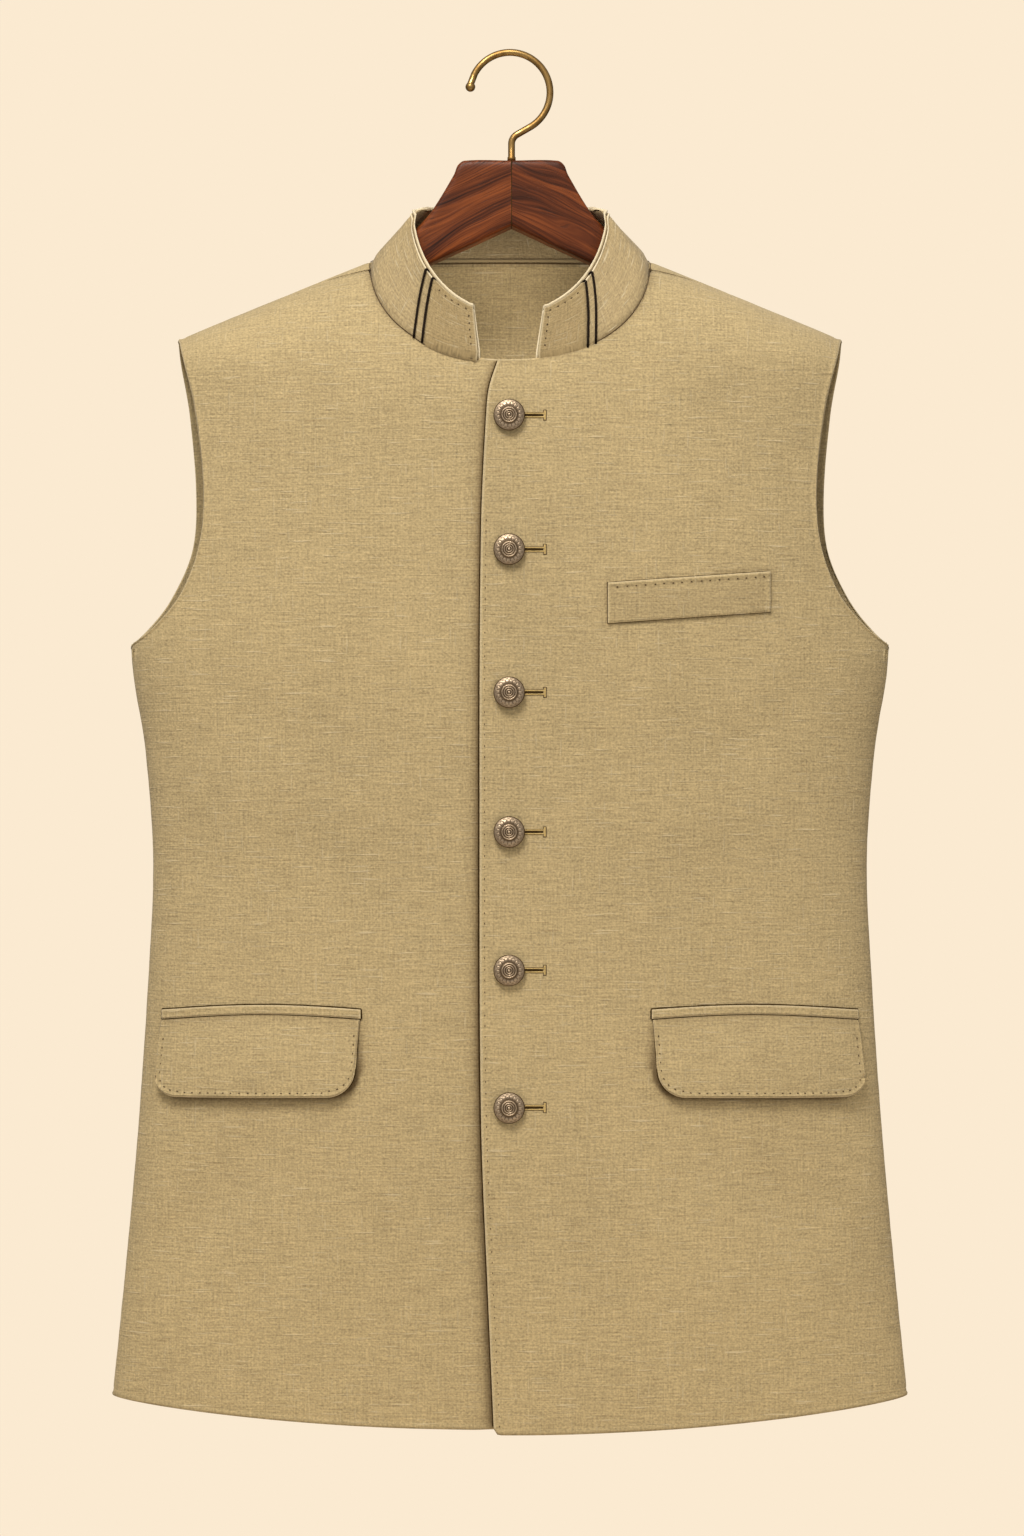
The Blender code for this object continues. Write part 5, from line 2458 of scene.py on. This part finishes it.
    def _welt_spot(self, u: float, v: float) -> tuple[float, float]:
        """x and z of a place on the breast welt."""
        start, end = self.welt_top
        return mix(start.x, end.x, u), mix(start.z, end.z, u) - self.welt_depth * v

    def _jet_spot(self, side: Side) -> Flat:
        """Gives x and z of a place on a jet."""
        inner, outer = self._ends(side)
        return lambda u, v: (side.value * mix(inner, outer, u), self._pocket_top(u) - self.jet_depth * v)

    def _welt(self) -> ClothSheet:
        """The breast welt.

        Returns:
            The sheet.
        """
        return ClothSheet(
            name="cloth_breast_welt",
            inner=lambda u, v: self._front(*self._welt_spot(u, v), self.gap),
            flat=lambda u, v: self.form.flat(*self._welt_spot(u, v), Face.FRONT),
            columns=graded(*self.welt_columns),
            rows=graded(*self.welt_rows),
            wall=self.welt_wall,
            rolled=all_rolled(Border.BOTTOM, self.welt_foot_rolled),
            shade=lambda u, v: self.welt_tone,
        )

    def _jet(self, side: Side) -> ClothSheet:
        """The strip that edges the pocket's mouth above the flap.

        Args:
            side: The wearer's side.

        Returns:
            The sheet.
        """
        spot = self._jet_spot(side)
        return ClothSheet(
            name=f"cloth_pocket_jet_{side.word}",
            inner=lambda u, v: self._front(*spot(u, v), self.gap),
            flat=lambda u, v: self.form.flat(*spot(u, v), Face.FRONT),
            columns=graded(*self.jet_columns),
            rows=graded(*self.jet_rows),
            wall=self.jet_wall,
            rolled=all_rolled(),
            pressing=self.jet_pressing,
        )

    def _depth(self, share: float, width: float) -> float:
        """Depth of the flap at a share of its width."""
        lift = round_corner(width * share, self.inner_radius)
        lift = max(lift, round_corner(width * (1 - share), self.outer_radius))
        return self.flap_depth + self.flap_sag * math.sin(math.pi * held(share)) - lift

    def _flap(self, side: Side) -> ClothSheet:
        """The flap, which stands off the front towards its round lower corners.

        Args:
            side: The wearer's side.

        Returns:
            The sheet.
        """
        inner_end, outer_end = self._ends(side, self.flap_inset)

        def spot(share: float, drop: float) -> tuple[float, float]:
            """x and z of a place on the flap.

            Args:
                share: 0 at the inner end and 1 at the outer.
                drop: 0 at the top and 1 at the edge.

            Returns:
                x and z.
            """
            run_out = mix(self.taper * drop, self.flare * math.sqrt(max(drop, 0.0)), share)
            top = self._pocket_top(share) - self.jet_depth - 2 * self.seam
            depth = self._depth(share, outer_end - inner_end)
            return side.value * (mix(inner_end, outer_end, share) + run_out), top - depth * drop

        def inner(share: float, drop: float) -> Vector:
            """A point of the flap's inner face."""
            puff = self.puff * math.sin(math.pi * held(share)) * math.sin(math.pi * held(drop))
            lift = self.gap + self.stand_off * max(drop, 0.0) ** self.stand_power + puff
            return self._front(*spot(share, drop), lift)

        return ClothSheet(
            name=f"cloth_pocket_flap_{side.word}",
            inner=inner,
            flat=lambda u, v: self.form.flat(*spot(u, v), Face.FRONT),
            columns=graded(*self.flap_columns),
            rows=graded(*self.flap_rows),
            wall=self.flap_wall,
            rolled=all_rolled(but=Border.TOP),
            shade=lambda u, v: self.flap_tone * math.exp(-v * self.flap_depth / self.flap_tone_reach),
        )

    def _flap_row(self, side: Side) -> list[tuple[float, float]]:
        """The stitched row inside a flap's edge, as shares of its width and depth.

        Args:
            side: The wearer's side.

        Returns:
            The row.
        """
        inner_end, outer_end = self._ends(side, self.flap_inset)
        width, inset = outer_end - inner_end, self.inset
        left = (self.inner_radius, self.flap_depth - self.inner_radius)
        right = (width - self.outer_radius, self.flap_depth - self.outer_radius)
        steps = self.corner_steps
        quarter = [math.pi / 2 * k / steps for k in range(steps + 1)]
        spots = [(inset, drop) for drop in spread(self.row_start, left[1], steps)[:-1]]
        reach = self.inner_radius - inset
        spots += [(left[0] - reach * math.cos(turn), left[1] + reach * math.sin(turn)) for turn in quarter]
        for x in spread(left[0], right[0], self.row_steps)[1:-1]:
            spots.append((x, self._depth(x / width, width) - inset))
        reach = self.outer_radius - inset
        spots += [(right[0] + reach * math.sin(turn), right[1] + reach * math.cos(turn)) for turn in quarter]
        spots += [(width - inset, drop) for drop in spread(right[1], self.row_start, steps)[1:]]
        return [(x / width, depth / self._depth(x / width, width)) for x, depth in spots]


class Turned(NamedTuple):
    """A ring of a turned face: its height over the back of the button's plate."""

    radius: float
    height: float


class Cast(NamedTuple):
    """A ring of cast ornament: its height, its radius and half its width."""

    height: float
    radius: float
    spread: float

    def at(self, radius: float) -> float:
        """The ornament's height at a radius."""
        return self.height * bell((radius - self.radius) / self.spread)


@dataclass(frozen=True)
class Buttons:
    """Domed buttons of cast bronze, with leaves round a rosette, and their buttonholes."""

    front: Panel
    bronze: Material
    silk: Material
    # The flat dark colour of the painted shade in the buttonholes' slits.
    dark: Material
    needle: Material
    heights: tuple[float, ...] = (-0.2387, -0.3239, -0.4146, -0.5035, -0.5917, -0.6794)
    x: float = -0.0005
    radius: float = 0.0100
    seat_gap: float = 0.0003
    around: int = 108
    rings: int = 46
    leaves: int = 18
    face_profile: tuple[Turned, ...] = (
        Turned(0.0, 0.0060),
        Turned(0.0007, 0.0058),
        Turned(0.0012, 0.0053),
        Turned(0.0018, 0.0058),
        Turned(0.0025, 0.0052),
        Turned(0.0031, 0.0058),
        Turned(0.0038, 0.0051),
        Turned(0.0045, 0.0056),
        Turned(0.0052, 0.0049),
        Turned(0.0058, 0.0048),
        Turned(0.0079, 0.0043),
        Turned(0.0087, 0.0041),
        Turned(0.0093, 0.0040),
        Turned(0.0097, 0.0036),
        Turned(0.0100, 0.0029),
    )
    back_profile: tuple[Turned, ...] = (
        Turned(0.0099, 0.0024),
        Turned(0.0095, 0.0021),
        Turned(0.0080, 0.0020),
        Turned(0.0034, 0.0018),
        Turned(0.0030, 0.0015),
        Turned(0.0029, -0.0002),
    )
    leaf_ring: Cast = Cast(0.00055, 0.0072, 0.0010)
    leaf_power: float = 0.8
    vein_width: float = 0.16
    vein_depth: float = 0.45
    vein_power: int = 6
    bead_ring: Cast = Cast(0.00030, 0.0084, 0.0004)
    bead_power: int = 5
    tooth_ring: Cast = Cast(0.00010, 0.0045, 0.0004)
    teeth: int = 36
    dome_height: float = 0.0059
    dome_fall: float = 0.0019
    raised_reach: float = 0.0010
    raised_at_dome: float = 0.78
    turned_by: int = 13
    hole_start: float = 0.0070
    hole_end: float = 0.0222
    hole_lip: float = 0.00118
    hole_border: float = 0.0017
    border_radius: float = 0.00024
    border_steps: int = 8
    bar_half: float = 0.0028
    bar_border: tuple[float, float] = (0.0010, 0.0005)
    slit_half: tuple[float, float] = (0.00105, 0.00055)
    slit_short: float = 0.0010
    slit_lift: float = 0.00012
    slit_steps: int = 14
    lips: Sewing = Sewing(length=0.00085, radius=0.00032, arch=0.00016)
    lip_short: float = 0.0006
    lip_pitch: float = 0.00044
    lip_steps: int = 12
    bar: Sewing = Sewing(length=0.0013, radius=0.00032, arch=0.00020)
    bar_pitch: float = 0.00046
    bar_steps: int = 8
    bar_seed: int = 40

    def build(self) -> list[Piece]:
        """Makes the buttons and the worked buttonholes.

        Returns:
            The pieces on the over front.
        """
        pieces, threads, bars = [], [], []
        for number, height in enumerate(self.heights, 1):
            mesh = self._button(f"bronze_button_{number}")
            made = add_piece(mesh, self.bronze, "button_metal", f"button_{number}")
            seat = self._skin(self.x, height) + Vector((0.0, -self.seat_gap, 0.0))
            turned = Matrix.Rotation(math.radians(self.turned_by * number), 4, "Z")
            made.matrix_world = Matrix.Translation(seat) @ Matrix.Rotation(math.pi / 2, 4, "X") @ turned
            pieces.append(made)
            threads += self._lip_threads(height, number)
            bars += self._bar_threads(height, number)
        for mesh in (self.lips.mesh("buttonhole_thread", threads), self.bar.mesh("buttonhole_bars", bars)):
            pieces.append(add_piece(mesh, self.silk, "cloth"))
        pieces.append(add_piece(self._slits(), self.dark, "cloth"))
        # Painted shade: a thin dark line round each buttonhole and its bar.
        borders = [self._border(height) for height in self.heights]
        mesh = sunk_seam("buttonhole_borders", borders, self.border_radius)
        pieces.append(add_piece(mesh, self.needle, "cloth"))
        return pieces

    def _border(self, height: float) -> list[Vector]:
        """The line pressed into the cloth round a buttonhole and its bar, drawn as a thin dark line of
        painted shade.

        Args:
            height: The buttonhole's height.

        Returns:
            The line.
        """
        beside, beyond = self.bar_border
        out, wide = self.hole_border, self.bar_half + beyond
        near, far = self.hole_end - beside, self.hole_end + beside
        turns = ((self.hole_start, out), (near, out), (near, wide), (far, wide))
        spots = [*turns, *((x, -z) for x, z in reversed(turns))]
        line = []
        for (x0, z0), (x1, z1) in zip(spots, spots[1:]):
            places = zip(spread(x0, x1, self.border_steps), spread(z0, z1, self.border_steps))
            line += [self._skin(x, height + z) for x, z in places][:-1]
        return line

    def _skin(self, x: float, z: float) -> Vector:
        """A point of the over front's outer skin."""
        return self.front.skin(x, z) + normal_of(self.front.skin, x, z) * self.front.form.wall

    def _ornament(self, radius: float, angle: float) -> float:
        """Height of the cast ornament over the turned face.

        Args:
            radius: How far from the axis.
            angle: The angle round it.

        Returns:
            The height.
        """
        turn = angle * self.leaves / 2
        leaf = abs(math.cos(turn)) ** self.leaf_power
        vein = bell(math.sin(turn + math.pi / 2) / self.vein_width)
        height = self.leaf_ring.at(radius) * (leaf - self.vein_depth * (1 - vein) * leaf**self.vein_power)
        height += self.bead_ring.at(radius) * abs(math.sin(turn)) ** self.bead_power
        return height + self.tooth_ring.at(radius) * math.cos(angle * self.teeth)

    def _button(self, name: str) -> Mesh:
        """A button whose axis is Z, with how far its relief is raised kept on its points.

        Args:
            name: The mesh's name.

        Returns:
            The mesh.
        """
        face, rows = Curve.of(self.face_profile, "height"), []
        for k in range(1, self.rings + 1):
            radius = self.radius * k / self.rings
            plain = face(radius)
            rows.append(ring_of(radius, self.around, lambda angle: plain + self._ornament(radius, angle)))
        rows += [ring_of(ring.radius, self.around, lambda angle: ring.height) for ring in self.back_profile]
        points = [Vector((0.0, 0.0, face(0.0)))] + [point for row in rows for point in row]
        faces = [(0, 1 + i, 1 + (i + 1) % self.around) for i in range(self.around)]
        for j in range(len(rows) - 1):
            for i in range(self.around):
                a, b = 1 + j * self.around + i, 1 + j * self.around + (i + 1) % self.around
                faces.append((a, a + self.around, b + self.around, b))
        last = 1 + (len(rows) - 1) * self.around
        faces.append(tuple(range(last + self.around - 1, last - 1, -1)))
        mesh = mesh_of(name, points, faces)
        layer = mesh.attributes.new(RAISED, "FLOAT", "POINT")
        for value, point in zip(layer.data, points):
            dome = self.dome_height - self.dome_fall * (math.hypot(point.x, point.y) / self.radius) ** 2
            value.value = held((point.z - dome) / self.raised_reach + self.raised_at_dome)
        return mesh

    def _lip_threads(self, height: float, number: int) -> list[Stitch]:
        """The purled lips of a buttonhole.

        Args:
            height: The buttonhole's height.
            number: Its number, which sets the random draws.

        Returns:
            The stitches.
        """
        threads = []
        for way in (1, -1):
            lip = height + way * self.hole_lip
            end = self.hole_end - self.lip_short
            path = [(x, lip) for x in spread(self.hole_start, end, self.lip_steps)]
            threads += self.lips.row(self._skin, path, self.lip_pitch, 0.0, math.pi / 2, number * 2 + way)
        return threads

    def _bar_threads(self, height: float, number: int) -> list[Stitch]:
        """The bar at the end of a buttonhole."""
        path = [(self.hole_end, height + z) for z in spread(-self.bar_half, self.bar_half, self.bar_steps)]
        return self.bar.row(self._skin, path, self.bar_pitch, 0.0, math.pi / 2, number + self.bar_seed)

    def _slits(self) -> Mesh:
        """Flat dark strips between the lips, painted shade that stands for the open cuts, widest by the
        buttons.

        Returns:
            The mesh.
        """
        across = spread(self.hole_start, self.hole_end - self.slit_short, self.slit_steps)
        points, faces = [], []
        for height in self.heights:
            first = len(points)
            for x, half in zip(across, spread(*self.slit_half, self.slit_steps)):
                for way in (1, -1):
                    place = self._skin(x, height + way * half)
                    points.append(place + normal_of(self._skin, x, height) * self.slit_lift)
            faces += [(a, a + 1, a + 3, a + 2) for a in range(first, len(points) - 2, 2)]
        return mesh_of("buttonhole_slits", points, faces)


class ArmSection(NamedTuple):
    """A section of a hanger's arm at a reach from the mitre."""

    reach: float
    top: float
    bottom: float
    half_depth: float
    squareness: float


@dataclass(frozen=True)
class Hanger:
    """Two walnut arms that meet at a mitre, and the brass hook."""

    woods: dict[Side, Material]
    brass: Material
    shade: Material
    gap: float = 0.0003
    stem_x: float = 0.0010
    stem_reach: float = 0.1
    around: int = 64
    steps: int = 7
    sections: tuple[ArmSection, ...] = (
        ArmSection(0.0000, -0.0689, -0.1118, 0.0105, 9.0),
        ArmSection(0.0300, -0.0690, -0.1258, 0.0105, 9.0),
        ArmSection(0.0345, -0.0722, -0.1278, 0.0105, 8.5),
        ArmSection(0.0368, -0.0780, -0.1289, 0.0105, 8.0),
        ArmSection(0.0510, -0.1014, -0.1355, 0.0100, 7.0),
        ArmSection(0.0610, -0.1125, -0.1402, 0.0090, 4.5),
        ArmSection(0.0750, -0.1290, -0.1470, 0.0088, 2.6),
        ArmSection(0.0950, -0.1450, -0.1600, 0.0100, 2.2),
        ArmSection(0.1150, -0.1510, -0.1663, 0.0130, 2.2),
        ArmSection(0.1450, -0.1590, -0.1792, 0.0160, 2.2),
        ArmSection(0.1750, -0.1713, -0.1932, 0.0172, 2.2),
        ArmSection(0.1950, -0.1795, -0.2025, 0.0165, 2.2),
        ArmSection(0.2030, -0.1850, -0.2040, 0.0140, 2.2),
        ArmSection(0.2060, -0.1905, -0.2005, 0.0085, 2.2),
    )
    sharp_over: float = math.radians(50)
    mitre_inset: float = 0.0006
    mitre_sunk: float = 0.0002
    mitre_radius: float = 0.00034
    mitre_steps: int = 24
    wire: float = 0.00225
    ring: float = 0.0260
    tip_turn: float = math.radians(172)
    leave_turn: float = math.radians(-60)
    sweep: float = 0.0070
    ball: float = 0.0032
    ball_turns: tuple[float, float] = (8, 135)
    ball_steps: int = 14
    ring_steps: int = 96
    ring_start: int = 8
    sweep_steps: int = 14
    wire_sides: int = 24
    foot_rings: tuple[tuple[float, float], ...] = ((0.0032, 1.0), (0.0026, 1.18), (0.0, 1.22))

    def build(self) -> None:
        """Makes the arms and the hook."""
        for side in Side:
            mesh = self._arm(f"walnut_arm_{side.word}", side)
            mesh.set_sharp_from_angle(angle=self.sharp_over)
            made = add_piece(mesh, self.woods[side], "wood", f"hanger_arm_{side.word}")
            weighted = made.modifiers.new("Flat faces", "WEIGHTED_NORMAL")
            weighted.keep_sharp = True
        # Painted shade: a thin dark line down the mitre on each face, over the gap between the arms.
        for name, way in (("mitre_front", -1), ("mitre_back", 1)):
            path = [self._mitre(way, share) for share in spread(0.0, 1.0, self.mitre_steps)]
            add_piece(sunk_seam(name, [path], self.mitre_radius), self.shade, "wood")
        add_piece(self._hook("brass_hook"), self.brass, "hook_metal", "hanger_hook")

    def _mitre(self, way: int, share: float) -> Vector:
        """A point of the line where the two arms meet on one face."""
        end = self.sections[0]
        height = mix(end.top - self.mitre_inset, end.bottom + self.mitre_inset, share)
        return Vector((self.stem_x, way * (end.half_depth - self.mitre_sunk), height))

    def _arm(self, name: str, side: Side) -> Mesh:
        """A closed loft of an arm's sections.

        Args:
            name: The mesh's name.
            side: The wearer's side.

        Returns:
            The mesh.
        """
        curves = {column: Curve.of(self.sections, column) for column in ArmSection._fields[1:]}
        reaches = [0.0]
        for before, after in zip(self.sections, self.sections[1:]):
            reaches += [mix(before.reach, after.reach, k / self.steps) for k in range(1, self.steps + 1)]
        points = []
        for reach in reaches:
            top, bottom, half_depth, squareness = (curve(reach) for curve in curves.values())
            shift = self.stem_x * max(0.0, 1 - reach / self.stem_reach)
            for k in range(self.around):
                angle = 2 * math.pi * k / self.around
                across = math.copysign(abs(math.sin(angle)) ** (2 / squareness), math.sin(angle))
                up = math.copysign(abs(math.cos(angle)) ** (2 / squareness), math.cos(angle))
                points.append(Vector((
                    side.value * (reach + self.gap / 2) + shift,
                    half_depth * across,
                    (top + bottom) / 2 + (top - bottom) / 2 * up,
                )))
        return mesh_of(name, points, tube_faces(len(reaches), self.around, flip=side is Side.RIGHT))

    def _hook(self, name: str) -> Mesh:
        """The wire from its ball end over the top and down into the wood.

        Args:
            name: The mesh's name.

        Returns:
            The mesh.
        """

        def spoke(turn: float) -> Vector:
            """The way out from a centre at a turn, in the hook's plane."""
            return Vector((math.cos(turn), 0.0, math.sin(turn)))

        centre = Vector((0.0, 0.0, self.wire - self.ring))
        start = centre + spoke(self.tip_turn) * self.ring
        back = spoke(self.tip_turn + math.pi / 2)
        path, radii = [], []
        for turn in map(math.radians, spread(*self.ball_turns, self.ball_steps)):
            path.append(start + back * self.ball * math.cos(turn))
            radii.append(self.ball * math.sin(turn))
        turns = spread(self.tip_turn, self.leave_turn, self.ring_steps)[self.ring_start :]
        path += [centre + spoke(turn) * self.ring for turn in turns]
        ahead = -spoke(self.leave_turn + math.pi / 2)
        sweep_x = self.stem_x + self.sweep * (1 - math.cos(self.leave_turn))
        sweep = path[-1] + ahead * (sweep_x - path[-1].x) / ahead.x
        sweep += spoke(self.leave_turn) * self.sweep
        for k in range(self.sweep_steps + 1):
            path.append(sweep - spoke(self.leave_turn * (1 - k / self.sweep_steps)) * self.sweep)
        foot = self.sections[0].top + self.gap
        for height, thick in self.foot_rings:
            path.append(Vector((self.stem_x, 0.0, foot + height)))
            radii += [self.wire] * (len(path) - 1 - len(radii)) + [self.wire * thick]
        across = Vector((0.0, 1.0, 0.0))
        return tube_mesh(name, path, lambda step, run, angle: radii[step], self.wire_sides, across)


class Lamp(NamedTuple):
    """A square lamp and the point that it looks at."""

    name: str
    place: tuple[float, float, float]
    size: float
    power: float
    colour: Colour
    aim: tuple[float, float, float] = (0.0, 0.0, -0.45)

    def light(self) -> None:
        """Puts the lamp up."""
        lamp = bpy.data.lights.new(self.name, "AREA")
        lamp.size, lamp.energy, lamp.color = self.size, self.power, self.colour
        made = bpy.data.objects.new(self.name, lamp)
        made.location = self.place
        way = Vector(self.aim) - Vector(self.place)
        made.rotation_euler = way.to_track_quat("-Z", "Y").to_euler()
        made.visible_camera = False
        made.visible_glossy = self.name == "key"
        bpy.context.scene.collection.objects.link(made)


@dataclass(frozen=True)
class Studio:
    """Pale floor, soft light and the camera."""

    camera_place: tuple[float, float, float] = (0.0013, -2.773, -0.4628)
    lens: float = 100.0
    floor_height: float = -1.16
    floor_radius: float = 0.95
    floor_sides: int = 96
    floor_colour: Colour = (0.80, 0.70, 0.56)
    floor_roughness: float = 0.9
    backdrop: Colour = (0.965, 0.823, 0.638)
    ambient: Colour = (1.0, 0.955, 0.89)
    ambient_way: tuple[float, float, float] = (-0.15, -0.80, 0.58)
    ambient_from: float = -0.6
    ambient_span: tuple[float, float] = (0.10, 0.62)
    lamps: tuple[Lamp, ...] = (
        Lamp("key", (-0.55, -1.75, 1.65), 1.0, 64.0, (1.0, 0.965, 0.91)),
        Lamp("fill", (1.9, -2.2, 0.1), 1.8, 12.0, (1.0, 0.955, 0.90)),
        Lamp("back", (0.6, 2.4, 0.9), 1.8, 40.0, (1.0, 0.965, 0.92)),
        Lamp("inside", (0.0, -0.020, -0.165), 0.03, 0.027, (1.0, 0.94, 0.85), (0.0, 0.050, -0.15)),
    )

    def build(self) -> None:
        """Makes the floor, the world, the lamps and the camera."""
        self._world()
        self._floor()
        for lamp in self.lamps:
            lamp.light()
        camera = bpy.data.cameras.new("camera")
        camera.lens = self.lens
        made = bpy.data.objects.new("camera", camera)
        made.location = self.camera_place
        made.rotation_euler = (math.pi / 2, 0.0, 0.0)
        bpy.context.scene.collection.objects.link(made)
        bpy.context.scene.camera = made
        bpy.context.scene.view_settings.view_transform = "Standard"

    def _world(self) -> None:
        """A plain pale world that lights less than it shows."""
        world = bpy.data.worlds.new("studio")
        world.use_nodes = True
        bpy.context.scene.world = world
        graph = Graph(world.node_tree)
        way = graph.add("ShaderNodeTexCoord", {}, {}, "Generated")
        lit = graph.add(
            "ShaderNodeVectorMath", {"operation": "DOT_PRODUCT"}, {0: way, 1: self.ambient_way}, "Value"
        )
        low, high = self.ambient_span
        span = {"Value": lit, "From Min": self.ambient_from, "To Min": low, "To Max": high}
        strength = graph.add("ShaderNodeMapRange", {}, span)
        light = graph.add("ShaderNodeBackground", {}, {"Color": self.ambient, "Strength": strength})
        seen = graph.add("ShaderNodeBackground", {}, {"Color": self.backdrop})
        by_camera = graph.add("ShaderNodeLightPath", {}, {}, "Is Camera Ray")
        both = graph.add("ShaderNodeMixShader", {}, {0: by_camera, 1: light, 2: seen})
        graph.feed(graph.nodes["World Output"].inputs["Surface"], both)

    def _floor(self) -> None:
        """A plain pale round floor."""
        rim = ring_of(self.floor_radius, self.floor_sides, lambda angle: self.floor_height)
        mesh = mesh_of("floor", rim, [tuple(range(self.floor_sides))])
        graph = Dressing("floor")
        finish = graph.surface(Base_Color=self.floor_colour, Roughness=self.floor_roughness)
        mesh.materials.append(finish)
        made = bpy.data.objects.new("floor", mesh)
        bpy.context.scene.collection.objects.link(made)


def main() -> None:
    """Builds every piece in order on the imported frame."""
    logging.basicConfig(level=logging.INFO, format="%(name)s %(message)s", stream=sys.stdout)
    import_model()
    Studio().build()
    form = BodyForm()
    linen, needle = JACKET_LINEN.material("linen"), STITCHING.material("stitching_thread")
    cord, silk = PIPING.material("piping_cord"), SILK.material("buttonhole_silk")
    shadow = SEAM_SHADE_PAINT.material("seam_depth")
    shaded_band_linen, facing = SHADED_BAND_LINEN.material("collar_linen"), SHADED_FACING_LINEN.material("facing_linen")
    pockets = Pockets(form, linen, needle, shadow)
    body = Body(form, linen, pockets.shade_at)
    panels = body.build()
    collar = Collar(form, shaded_band_linen, facing, cord, needle, shadow)
    band, tabs, collar_trims = collar.build()
    trims, pocket_sheets = pockets.build()
    for node, seams in body.seams(needle, shadow).items():
        trims[node] += seams
    over_front = Panel(form, Face.FRONT, Side.LEFT)
    trims["left_front"] += Buttons(over_front, BRONZE.material("bronze"), silk, shadow, needle).build()
    brass = BRASS.material("brass")
    woods = {side: WALNUT.material(f"walnut_{side.word}", side) for side in Side}
    Hanger(woods, brass, shadow).build()
    body.declare(panels, trims)
    collar.declare(band, tabs, collar_trims)
    pockets.declare(pocket_sheets, panels)


if __name__ == "__main__":
    main()
